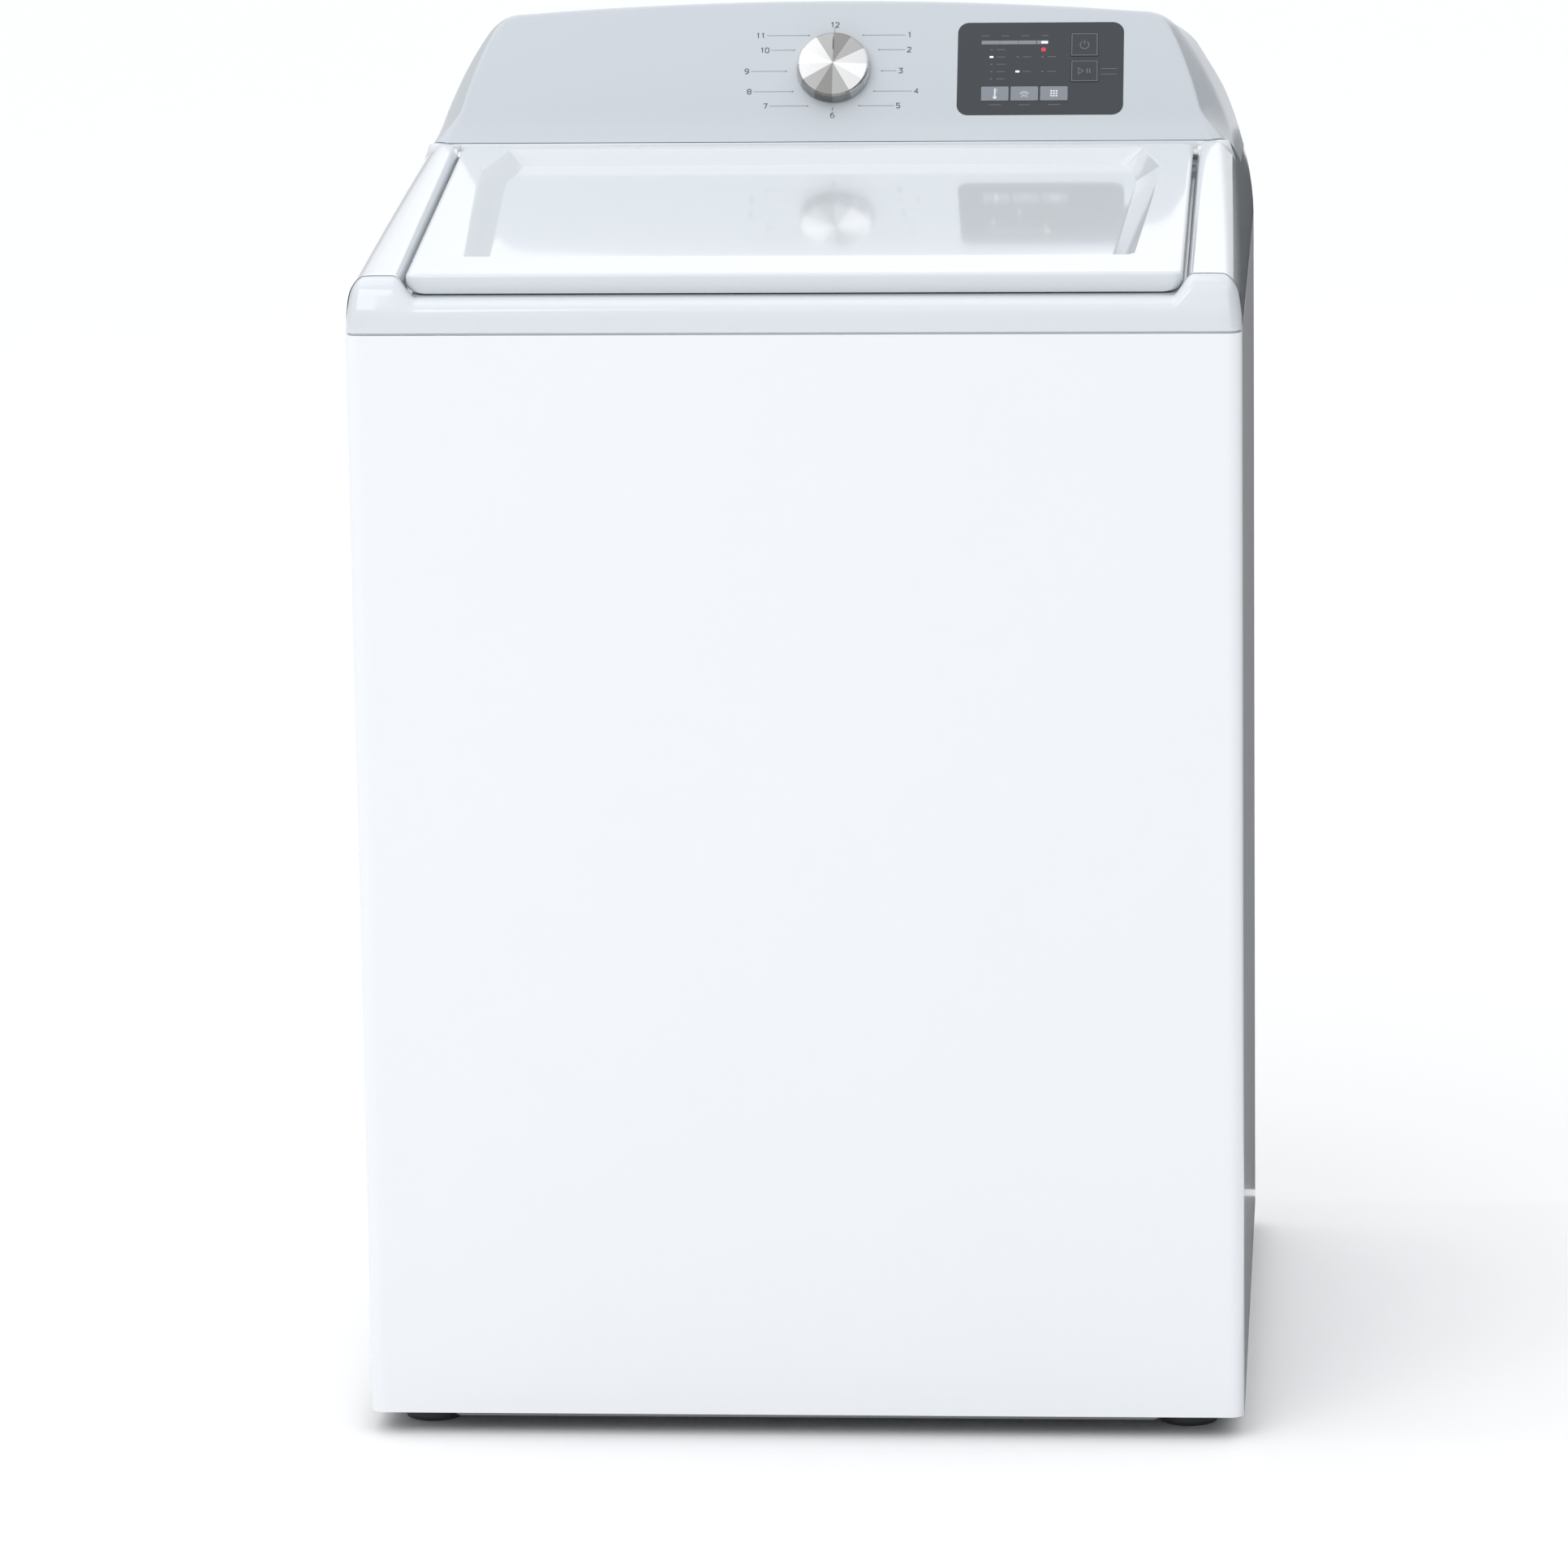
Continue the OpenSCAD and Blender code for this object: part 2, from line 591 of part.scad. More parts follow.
module suspension_rods() color([0.66, 0.67, 0.68]) at_rods() {
  translate([0, 0, 292]) cylinder(r = rod_r, h = seam_z - 34 - 292);
  translate([0, 0, 286]) cylinder(r = 15, h = 6);
  translate([0, 0, seam_z - 34]) cylinder(r = 7, h = 6);
}

module rod_seats() color([0.9, 0.9, 0.88]) at_rods() difference() {
  union() {
    translate([0, 0, seam_z - 43]) cylinder(r = 14, h = 4);
    translate([0, 0, seam_z - 39]) cylinder(r1 = 14, r2 = 10, h = 5);
    translate([0, 0, seam_z - 48]) cylinder(r = 8.9, h = 5);
  }
  translate([0, 0, seam_z - 60]) cylinder(r = rod_r + 0.05, h = 40);
}

// Wire of a coil spring as rings of points joined in order
module coil(rc, rw, h, turns, n, m) {
  k = n * turns;
  pts = [for (i = [0:k], j = [0:m - 1]) let (a = 360 * i / n, b = 360 * j / m)
    [(rc + rw * cos(b)) * cos(a), (rc + rw * cos(b)) * sin(a), h * i / k + rw * sin(b)]];
  sides = [for (i = [0:k - 1], j = [0:m - 1])
    [i * m + j, i * m + (j + 1) % m, (i + 1) * m + (j + 1) % m, (i + 1) * m + j]];
  ends = [[for (j = [m - 1:-1:0]) j], [for (j = [0:m - 1]) k * m + j]];
  polyhedron(points = pts, faces = concat(sides, ends), convexity = 8);
}

module suspension_springs() color([0.35, 0.37, 0.4]) at_rods()
  translate([0, 0, 294.2]) coil(12, 2, 71.6, 6, 18, 8);

module damper_cups() color([0.25, 0.26, 0.28]) at_rods() difference() {
  union() {
    translate([0, 0, 368.2]) cylinder(r = 17, h = 13.6);
    translate([0, 0, 381]) cylinder(r = 9.8, h = 10);
  }
  translate([0, 0, 350]) cylinder(r = rod_r + 0.35, h = 60);
}

// ---- tub ----

module outer_tub() color([0.82, 0.84, 0.86]) {
  at_tub() difference() {
    rotate_extrude() polygon([
      [40, 258], [268, 258], [tub_r - 5, 272], [tub_r, 822], [tub_r + 5, 822], [tub_r + 5, 828],
      [tub_r - 3, 828], [tub_r - 8, 276], [266, 262], [62, 262], [62, 270], [58, 270], [58, 262],
      [40, 262]
    ]);
    translate([pump_x, pump_y - tub_y + 90, 240]) cylinder(r = 17, h = 30);
  }
  at_tub() for (i = [0, 1, 2, 3, 5, 6, 7]) rotate([0, 0, 45 * i]) translate([88, -2, 244])
    cube([176, 4, 15]);
  // lugs that hang on the rods
  for (sx = [-1, 1], sy = [-1, 1]) at_tub() difference() {
    rotate([0, 0, atan2(sy * rod_dy, sx * rod_x)]) union() {
      translate([tub_r - 4.4, -26, 382]) cube([98, 52, 7]);
      translate([tub_r - 4.4, -26, 382]) cube([80, 4, 62]);
      translate([tub_r - 4.4, 22, 382]) cube([80, 4, 62]);
      translate([392, 0, 382]) cylinder(r = 26, h = 7);
    }
    translate([sx * rod_x, sy * rod_dy, 370]) cylinder(r = 9.9, h = 40);
  }
}

module tub_ring() color([0.9, 0.91, 0.92]) at_tub() rotate_extrude() polygon([
  [tub_r + 8, 816], [tub_r + 8, 834], [tub_r - 4, 852], [250, 858], [246, 855], [246, 851], [249, 851],
  [250, 855], [tub_r - 6, 849], [tub_r + 5.4, 832], [tub_r + 5.4, 816]
]);

module tub_seal() color([0.12, 0.12, 0.13]) at_tub() {
  ring(16, 39.8, 259, 266);
  ring(16, 24, 266, 274);
}

module gearcase() color([0.62, 0.64, 0.66]) at_tub() difference() {
  union() {
    translate([0, 0, 250]) cylinder(r = 78, h = 7.8);
    translate([0, 0, 150]) cylinder(r = 44, h = 101);
    for (i = [0:3]) rotate([0, 0, 45 + 90 * i]) translate([38, -3, 200]) cube([38, 6, 51]);
  }
  translate([0, 0, 140]) cylinder(r = 26, h = 130);
  translate([0, 0, 236]) cylinder(r = 30, h = 30);
  translate([0, 0, 140]) cylinder(r = 30, h = 24);
  // window for the clutch fork
  translate([-60, -12, 176]) cube([40, 24, 22]);
}

module bearings() color([0.72, 0.73, 0.74]) at_tub() {
  ring(16, 30, 240, 256);
  ring(16, 26, 206, 218);
  ring(10, 30, 151, 164);
}

module shift_actuator() color([0.2, 0.2, 0.22]) at_tub() {
  difference() {
    translate([-112, -28, 168]) cube([58, 56, 38]);
    translate([0, 0, 100]) cylinder(r = 44.5, h = 200);
  }
  translate([-56, -8, 182]) cube([26, 16, 8]);
  translate([-90, -5, 205]) cube([10, 10, 53]);
}

module drive_motor() color([0.45, 0.47, 0.5]) translate([motor_x, motor_y, 0]) difference() {
  union() {
    translate([0, 0, 150]) cylinder(r = 56, h = 82);
    translate([0, 0, 142]) cylinder(r = 22, h = 9);
    for (i = [0:3]) rotate([0, 0, 45 + 90 * i]) translate([44, 0, 228]) cylinder(r = 6, h = 12);
    translate([-60, -24, 166]) cube([20, 48, 44]);
  }
  translate([0, 0, 130]) cylinder(r = 6.05, h = 80);
  for (i = [0:11]) rotate([0, 0, 30 * i]) translate([38, -3, 140]) cube([12, 6, 16]);
}

module motor_bracket() color([0.55, 0.57, 0.6]) difference() {
  union() {
    translate([motor_x, motor_y, 240]) cylinder(r = 62, h = 4);
    translate([motor_x * 0.66, tub_y + 118 * 0.66, 240]) cylinder(r = 30, h = 4);
  }
  translate([motor_x, motor_y, 230]) cylinder(r = 24, h = 20);
  at_tub() translate([0, 0, 200]) cylinder(r = 79, h = 60);
}

module drive_belt() color([0.1, 0.1, 0.11]) at_tub() rotate([0, 0, atan2(118, motor_x)])
  translate([0, 0, belt_z]) linear_extrude(10) difference() {
    hull() {
      circle(pulley_r + 3.4);
      translate([belt_len, 0]) circle(motor_pulley_r + 3.4);
    }
    hull() {
      circle(pulley_r + 0.3);
      translate([belt_len, 0]) circle(motor_pulley_r + 0.3);
    }
  }

module drive_pulley() color([0.55, 0.56, 0.58]) at_tub() {
    ring(pulley_r - 8, pulley_r, belt_z - 2, belt_z + 12);
    ring(pulley_r - 8, pulley_r + 4, belt_z - 4, belt_z - 2);
    ring(pulley_r - 8, pulley_r + 4, belt_z + 12, belt_z + 14);
    translate([0, 0, belt_z - 4]) cylinder(r = 22, h = 22);
    translate([0, 0, belt_z]) cylinder(r = shaft_r, h = 62);
    for (i = [0:5]) rotate([0, 0, 60 * i]) translate([18, -6, belt_z + 1]) cube([pulley_r - 24, 12, 6]);
}

module motor_pulley() color([0.7, 0.71, 0.72]) translate([motor_x, motor_y, 0]) {
  translate([0, 0, belt_z - 2]) cylinder(r = motor_pulley_r, h = 14);
  translate([0, 0, belt_z - 4]) cylinder(r = motor_pulley_r + 3, h = 2);
  translate([0, 0, belt_z + 12]) cylinder(r = motor_pulley_r + 3, h = 2);
  translate([0, 0, belt_z + 12]) cylinder(r = 6, h = 80);
}

module drain_pump() color([0.24, 0.25, 0.27]) translate([pump_x, pump_y, 0]) difference() {
  union() {
    translate([0, 0, 196]) cylinder(r = 40, h = 28);
    translate([0, 0, 140]) cylinder(r = 30, h = 57);
    translate([20, 0, 210]) rotate([90, 0, 0]) cylinder(r = 11, h = 62);
    translate([0, 0, 223]) cylinder(r = 17, h = 12);
    for (a = [0, 180, 300]) rotate([0, 0, a]) translate([34, -5, 204]) cube([14, 10, 53.9]);
  }
  translate([0, 0, 200]) cylinder(r = 35, h = 20);
  translate([0, 0, 210]) cylinder(r = 13, h = 40);
  translate([0, 0, 160]) cylinder(r = 4.05, h = 60);
  translate([20, -20, 210]) rotate([90, 0, 0]) cylinder(r = 8, h = 60);
}

module pump_impeller() color([0.85, 0.85, 0.82]) translate([pump_x, pump_y, 0]) {
  translate([0, 0, 202]) cylinder(r = 29, h = 3);
  translate([0, 0, 165]) cylinder(r = 4, h = 38);
  for (i = [0:5]) rotate([0, 0, 60 * i]) translate([5, -1.2, 204]) cube([23, 2.4, 11]);
  translate([0, 0, 204]) cylinder(r = 8, h = 10);
}

module pump_hose() color([0.13, 0.13, 0.14]) translate([pump_x, pump_y, 0]) difference() {
  union() {
    translate([0, 0, 236]) cylinder(r = 16, h = 12);
    translate([0, 45, 236]) translate([-16, -45, 0]) cube([32, 90, 12]);
    translate([0, 90, 236]) cylinder(r = 16.8, h = 24);
  }
  translate([0, 0, 230]) cylinder(r = 13, h = 12);
  translate([-12, 0, 239]) cube([24, 90, 6]);
  translate([0, 90, 239]) cylinder(r = 14, h = 40);
}

// ---- basket and agitator ----

module wash_basket() color([0.75, 0.76, 0.77]) at_tub() difference() {
  rotate_extrude() polygon([
    [62, 300], [236, 300], [254, 308], [basket_r + 1.2, 330], [basket_r + 1.2, 812], [basket_r, 812],
    [basket_r, 330], [253, 309.4], [236, 301.4], [62, 301.4]
  ]);
  for (j = [0:3], i = [0:11]) translate([0, 0, 390 + 110 * j]) rotate([0, 90, 30 * i + 15 * (j % 2)])
    translate([0, 0, basket_r - 8]) cylinder(r = 3, h = 16);
}

module balance_ring() color([0.86, 0.87, 0.88]) at_tub() difference() {
  rotate_extrude() polygon([
    [250, 796], [258, 790], [basket_r - 0.2, 790], [basket_r - 0.2, 813], [272, 813], [272, 838],
    [266, 842], [254, 842], [250, 838]
  ]);
}

module basket_hub() color([0.6, 0.62, 0.64]) at_tub() {
  difference() {
    rotate_extrude() polygon([
      [10.05, 200], [tube_r, 200], [tube_r, 280], [30, 284], [60, 292], [150, 296], [150, 300],
      [61.6, 300], [61.6, 303], [24, 303], [24, 299], [10.05, 299]
    ]);
    for (i = [0:5]) rotate([0, 0, 60 * i]) translate([42, 0, 280]) cylinder(r = 6, h = 40);
  }
}

module agitator() color([0.62, 0.66, 0.7]) at_tub() {
  rotate_extrude() polygon([
    [skirt_r, 312], [skirt_r, 320], [150, 330], [120, 345], [92, 370], [72, 410], [62, 460],
    [57, 530], [54, 690], [51, 700], [48, 700], [48, 690], [51, 688], [54, 530], [59, 459],
    [69, 409], [89.5, 368], [118, 342.4], [148, 327.4], [skirt_r - 3, 317.4], [skirt_r - 3, 312]
  ]);
  ring(10, 18, 330, 424);
  difference() {
    ring(17, 68, 418, 424);
    for (i = [0:3]) rotate([0, 0, 45 + 90 * i]) translate([38, 0, 410]) cylinder(r = 8, h = 20);
  }
  for (i = [0:3]) rotate([0, 0, 90 * i + 45]) rotate([90, 0, 0]) translate([0, 0, -4]) linear_extrude(8)
    polygon([[74, 400], [92, 366.5], [150, 327.5], [156, 336], [140, 372], [112, 420], [86, 500],
             [60, 560], [55, 560], [57, 530], [62, 460]]);
  for (i = [0:3]) rotate([0, 0, 90 * i]) rotate([90, 0, 0]) translate([0, 0, -3]) linear_extrude(6)
    polygon([[56, 540], [70, 560], [66, 680], [53.4, 690]]);
}

module agitator_cap() color([0.5, 0.54, 0.58]) at_tub() {
  ring(30, 47.8, 684, 700);
  translate([0, 0, 700]) cylinder(r = 53, h = 6);
  translate([0, 0, 706]) cylinder(r1 = 53, r2 = 38, h = 12);
}

module agitator_shaft() color([0.66, 0.67, 0.69]) at_tub() {
  translate([0, 0, 184]) cylinder(r = shaft_r, h = 240);
  translate([0, 0, 424.2]) cylinder(r = 16, h = 5);
  translate([0, 0, 420]) cylinder(r = 6, h = 5);
}

cabinet_shell();
rear_panel();
base_frame();
top_cover();
console_housing();
console_rear_cover();
rear_screws();
control_panel();
control_board();
dial_switch();
hinge_bushings();
lid_lock();
lid_bumpers();
bleach_dispenser();
fill_nozzle();
water_inlet_valve();
drain_outlet();
cord_gland();
suspension_rods();
rod_seats();
motor_capacitor();
foot_nuts();
lid_panel();
lid_liner();
lid_hinge_pins();
lid_strike();
cycle_knob();
knob_shaft();
power_key();
start_key();
option_key_left();
option_key_middle();
option_key_right();
outer_tub();
tub_ring();
tub_seal();
gearcase();
bearings();
damper_cups();
suspension_springs();
drive_motor();
motor_bracket();
drive_belt();
shift_actuator();
drain_pump();
pump_hose();
wash_basket();
balance_ring();
basket_hub();
agitator();
agitator_cap();
agitator_shaft();
drive_pulley();
motor_pulley();
pump_impeller();
foot_front_left();
foot_front_right();
foot_rear_left();
foot_rear_right();
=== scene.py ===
"""Top load washing machine: finishes, moulded surfaces, markings, light and camera round the CAD frame."""

import json
import math

import bmesh
import bpy
from mathutils import Matrix, Vector


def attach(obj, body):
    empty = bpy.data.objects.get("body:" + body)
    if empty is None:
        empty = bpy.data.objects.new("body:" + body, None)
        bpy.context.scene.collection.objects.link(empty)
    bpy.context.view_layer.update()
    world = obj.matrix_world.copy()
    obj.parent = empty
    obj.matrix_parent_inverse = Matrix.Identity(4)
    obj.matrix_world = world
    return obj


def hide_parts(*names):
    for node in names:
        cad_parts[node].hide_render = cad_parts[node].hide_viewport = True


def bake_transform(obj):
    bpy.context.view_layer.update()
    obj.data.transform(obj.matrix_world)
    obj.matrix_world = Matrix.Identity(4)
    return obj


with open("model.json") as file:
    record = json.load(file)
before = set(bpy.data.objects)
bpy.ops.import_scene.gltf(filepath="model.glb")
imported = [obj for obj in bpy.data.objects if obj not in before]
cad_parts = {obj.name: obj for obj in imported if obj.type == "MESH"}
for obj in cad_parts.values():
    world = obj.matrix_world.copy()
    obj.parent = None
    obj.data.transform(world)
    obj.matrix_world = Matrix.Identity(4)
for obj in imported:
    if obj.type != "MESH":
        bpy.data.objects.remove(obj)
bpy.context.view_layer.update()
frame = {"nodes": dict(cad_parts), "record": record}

# ---- sizes shared with the CAD, in metres ----

FRONT = -0.345
REAR = 0.325
SEAM = 0.888
HALF = 0.34925

DECK_Y = FRONT + 0.020
DECK_Z = SEAM + 0.0455
DECK_TILT = math.radians(6)
POCKET_W = -0.0175
LID_LEN = 0.432
LID_HALF = 0.303

FACE_Y = FRONT + 0.461
FACE_Z = SEAM + 0.092
FACE_TILT = math.radians(34)

KNOB = (0.003, 0.0655)


def lerp(a, b, t):
    return a + (b - a) * t


def smooth(t):
    t = min(1.0, max(0.0, t))
    return t * t * (3 - 2 * t)


def deck_height(y):
    return DECK_Z + (y - DECK_Y) * math.tan(DECK_TILT)


def on_deck(u, v, w):
    """Point in the deck's frame: u across, v up the slope, w off the surface."""
    return Vector((
        u,
        DECK_Y + v * math.cos(DECK_TILT) - w * math.sin(DECK_TILT),
        DECK_Z + v * math.sin(DECK_TILT) + w * math.cos(DECK_TILT),
    ))


def on_face(u, v, w):
    """Point in the control face's frame: u across, v up the face, w off the surface."""
    return Vector((
        u,
        FACE_Y + v * math.sin(FACE_TILT) - w * math.cos(FACE_TILT),
        FACE_Z + v * math.cos(FACE_TILT) + w * math.sin(FACE_TILT),
    ))


# ---- materials ----


def principled(name, rough, metallic=0.0, coat=0.0, coat_rough=0.05):
    """A new node material, with its node tree and its shader."""
    made = bpy.data.materials.new(name)
    made.use_nodes = True
    shader = made.node_tree.nodes["Principled BSDF"]
    shader.inputs["Roughness"].default_value = rough
    shader.inputs["Metallic"].default_value = metallic
    shader.inputs["Coat Weight"].default_value = coat
    shader.inputs["Coat Roughness"].default_value = coat_rough
    return made, made.node_tree, shader


def noise(tree, scale, detail=3.0, stretch=(1, 1, 1)):
    """Noise over the object's own coordinates, stretched along the axes."""
    coords = tree.nodes.new("ShaderNodeTexCoord")
    mapping = tree.nodes.new("ShaderNodeMapping")
    mapping.inputs["Scale"].default_value = stretch
    texture = tree.nodes.new("ShaderNodeTexNoise")
    texture.inputs["Scale"].default_value = scale
    texture.inputs["Detail"].default_value = detail
    tree.links.new(coords.outputs["Object"], mapping.inputs["Vector"])
    tree.links.new(mapping.outputs["Vector"], texture.inputs["Vector"])
    return texture.outputs["Fac"]


def ramp(tree, value, low, high):
    """Spreads a 0 to 1 value between two numbers."""
    node = tree.nodes.new("ShaderNodeMapRange")
    node.inputs["From Min"].default_value = 0.15
    node.inputs["From Max"].default_value = 0.85
    node.inputs["To Min"].default_value = low
    node.inputs["To Max"].default_value = high
    tree.links.new(value, node.inputs["Value"])
    return node.outputs["Result"]


def blend_colours(tree, value, one, other):
    node = tree.nodes.new("ShaderNodeMix")
    node.data_type = "RGBA"
    node.inputs["A"].default_value = (*one, 1)
    node.inputs["B"].default_value = (*other, 1)
    tree.links.new(value, node.inputs["Factor"])
    return node.outputs["Result"]


def bump(tree, shader, value, strength, distance):
    node = tree.nodes.new("ShaderNodeBump")
    node.inputs["Strength"].default_value = strength
    node.inputs["Distance"].default_value = distance
    tree.links.new(value, node.inputs["Height"])
    tree.links.new(node.outputs["Normal"], shader.inputs["Normal"])


def finish(
    name, colour, rough, metallic=0.0, coat=0.0, vary=0.03, grain=900, depth=0.00002, stretch=(1, 1, 1)
):
    """Surface with a slight cloudiness in colour and gloss, and a fine grain."""
    made, tree, shader = principled(name, rough, metallic, coat)
    cloud = noise(tree, 9, 4)
    darker = tuple(c * (1 - vary) for c in colour)
    lighter = tuple(min(1.0, c * (1 + vary)) for c in colour)
    tree.links.new(blend_colours(tree, cloud, darker, lighter), shader.inputs["Base Color"])
    tree.links.new(ramp(tree, cloud, rough * 0.94, rough * 1.06), shader.inputs["Roughness"])
    bump(tree, shader, noise(tree, grain, 2, stretch), 0.25, depth)
    return made


SLOTS = {
    "white_enamel": finish("enamel_white", (0.83, 0.85, 0.87), 0.22, coat=0.3, vary=0.008, grain=260),
    # painted shade: the top cover and lid are white like the cabinet; this greyer colour stands in for the
    # shade on them
    "top_white": finish(
        "moulded_white_painted_shade", (0.67, 0.705, 0.735), 0.10, coat=0.5, vary=0.008, grain=300, depth=0.00001
    ),
    # painted shade: the console is white plastic; this grey stands in for the shade on its face
    "console_white": finish("console_white", (0.545, 0.58, 0.615), 0.26, vary=0.003, grain=700),
    "galvanised": finish("galvanised", (0.60, 0.61, 0.62), 0.38, metallic=0.9, vary=0.12, grain=120),
    "grey_frame": finish("grey_frame", (0.20, 0.21, 0.22), 0.5, vary=0.06),
    "panel_slate": finish("panel_slate", (0.026, 0.032, 0.038), 0.20, vary=0.03, grain=1200, depth=0.00001),
    "key_grey": finish("key_grey", (0.22, 0.24, 0.27), 0.35, vary=0.04),
    "knob_metal": finish("knob_metal", (0.62, 0.61, 0.59), 0.24, metallic=1.0, vary=0.03, grain=1500),
    "steel": finish("steel", (0.55, 0.55, 0.56), 0.3, metallic=1.0, vary=0.06),
    "stainless": finish("stainless", (0.62, 0.62, 0.63), 0.2, metallic=1.0, vary=0.04, stretch=(1, 1, 0.04)),
    "board_green": finish("board_green", (0.02, 0.13, 0.05), 0.35, vary=0.15),
    "black_plastic": finish("black_plastic", (0.022, 0.023, 0.025), 0.42, vary=0.1),
    "grey_plastic": finish("grey_plastic", (0.09, 0.095, 0.105), 0.45, vary=0.08),
    "white_plastic": finish("white_plastic", (0.74, 0.75, 0.75), 0.38, vary=0.03),
    "tub_plastic": finish("tub_plastic", (0.58, 0.60, 0.62), 0.4, vary=0.04, grain=350),
    "agitator_grey": finish("agitator_grey", (0.33, 0.37, 0.42), 0.35, vary=0.03, grain=500),
    "cast_metal": finish(
        "cast_metal", (0.42, 0.43, 0.44), 0.5, metallic=0.85, vary=0.15, grain=250, depth=0.0001
    ),
    "motor_steel": finish("motor_steel", (0.22, 0.23, 0.24), 0.42, metallic=0.7, vary=0.1),
    "rubber_black": finish("rubber_black", (0.025, 0.025, 0.026), 0.65, vary=0.1),
    "foot_grey": finish("foot_grey", (0.065, 0.068, 0.072), 0.45, vary=0.1, grain=500),
}

slot_of = {row["node"]: row["material_slot"] for row in frame["record"]["subparts"]}
for name, piece in frame["nodes"].items():
    piece.data.materials.clear()
    piece.data.materials.append(SLOTS[slot_of[name]])

# ---- moulded surfaces ----

FLANK = ((HALF, 0), (HALF, 0.052), (HALF - 0.0215, 0.1153), (HALF - 0.0525, 0.164))
SHOULDER = ((HALF - 0.0525, 0.164), (HALF - 0.0590, 0.1748), (HALF - 0.0675, 0.1888), (HALF - 0.0850, 0.1903))
CREST = 0.1997
CREST_FALL = 0.0094
CREST_HALF = HALF - 0.0850


def cubic(p, t):
    """Point and slope of a cubic curve."""
    s = 1 - t
    point = tuple(
        s**3 * a + 3 * s * s * t * b + 3 * s * t * t * c + t**3 * d for a, b, c, d in zip(*p)
    )
    slope = tuple(
        3 * (s * s * (b - a) + 2 * s * t * (c - b) + t * t * (d - c)) for a, b, c, d in zip(*p)
    )
    return point, slope


def solve(rising, wanted, low, high):
    """Where a rising function reaches a value."""
    for _ in range(32):
        middle = (low + high) / 2
        if rising(middle) < wanted:
            low = middle
        else:
            high = middle
    return low


def skin(name, points, faces, slot, body, nodes=(), place=None, sharp=35, material=None):
    """Mesh that rides on a body and stands for the CAD nodes named."""
    work = bmesh.new()
    corners = [work.verts.new(p) for p in points]
    for face in faces:
        ring = list(dict.fromkeys(face))
        if len(ring) > 2:
            work.faces.new([corners[i] for i in ring])
    bmesh.ops.remove_doubles(work, verts=work.verts, dist=0.00001)
    bmesh.ops.dissolve_degenerate(work, edges=work.edges, dist=0.00001)
    bmesh.ops.recalc_face_normals(work, faces=work.faces)
    data = bpy.data.meshes.new(name)
    work.to_mesh(data)
    work.free()
    data.shade_smooth()
    data.set_sharp_from_angle(angle=math.radians(sharp))
    data.materials.append(material or SLOTS[slot])
    made = bpy.data.objects.new(name, data)
    bpy.context.scene.collection.objects.link(made)
    if place is not None:
        made.matrix_world = place
    weights = made.modifiers.new("weights", "WEIGHTED_NORMAL")
    weights.keep_sharp = True
    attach(made, body)
    if nodes:
        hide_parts(*nodes)


def quads(rows, width, start=0, closed=False):
    """Faces between neighbouring rows of points, stored one row after another."""
    span = width if closed else width - 1
    return [
        (
            start + j * width + i,
            start + j * width + (i + 1) % width,
            start + (j + 1) * width + (i + 1) % width,
            start + (j + 1) * width + i,
        )
        for j in range(rows - 1)
        for i in range(span)
    ]


def edge_stops(n=4):
    """Tangents that cut an eighth of a turn into equal steps, from the fold's middle outwards."""
    return [math.tan(math.radians(45) * k / n) for k in range(n, 0, -1)]


# ---- top cover ----

COVER_LIP = 0.002
UNDER_DROP = 0.014
UNDER_RUN = 0.038
TROUGH = 0.062
TROUGH_RUN = 0.040
LEAN = 0.0045
LEAN_TOP = 0.028
ARM_EDGE = (0.012, 0.020, 0.0195)
FLOOR_EDGE = (0.012, 0.0095, 0.0095)
WALL_X = 0.3055
WALL_SPAN = (-0.0005, 0.0065)
WALL_FOOT = -0.0115
WALL_TURN = (-0.0030, 0.0065)
WALL_Y = 0.1066
WALL_Y_SPAN = 0.005
HOLE_HALF = 0.244
HOLE_V = (0.043, 0.401)
HOLE_MIDDLE = 0.222
RING_N = 12
SLOT_X = (0.258, 0.278)
SLOT_V = (0.056, 0.090)
CUP_X = (-0.2935, -0.2465)
CUP_V = (0.0645, 0.1555)


def deck_row(v):
    """Depth of a place on the deck, v up its slope."""
    return DECK_Y + v * math.cos(DECK_TILT)


def steep(t):
    """Smoother step, with level ends."""
    t = min(1.0, max(0.0, t))
    return t**3 * (t * (6 * t - 15) + 10)


def cover_height(y):
    """Height of the cover's deck above the seam; it drops under the console."""
    foot = deck_height(FACE_Y) - SEAM
    if y <= FACE_Y:
        return deck_height(y) - SEAM
    if y <= FACE_Y + UNDER_RUN:
        return foot - UNDER_DROP * (y - FACE_Y) / UNDER_RUN
    behind = (y - FACE_Y - UNDER_RUN) / TROUGH_RUN
    return max(TROUGH, lerp(foot - UNDER_DROP, TROUGH, behind))


def flank_x(h):
    """How far out the flank stands at a height above the seam."""
    return cubic(FLANK, solve(lambda t: cubic(FLANK, t)[0][1], h, 0, 1))[0][0]


def rolled(t):
    """Quarter of an ellipse: upright at the start, level at the end."""
    t = min(1.0, max(0.0, t))
    return math.sqrt(1 - (1 - t) ** 2)


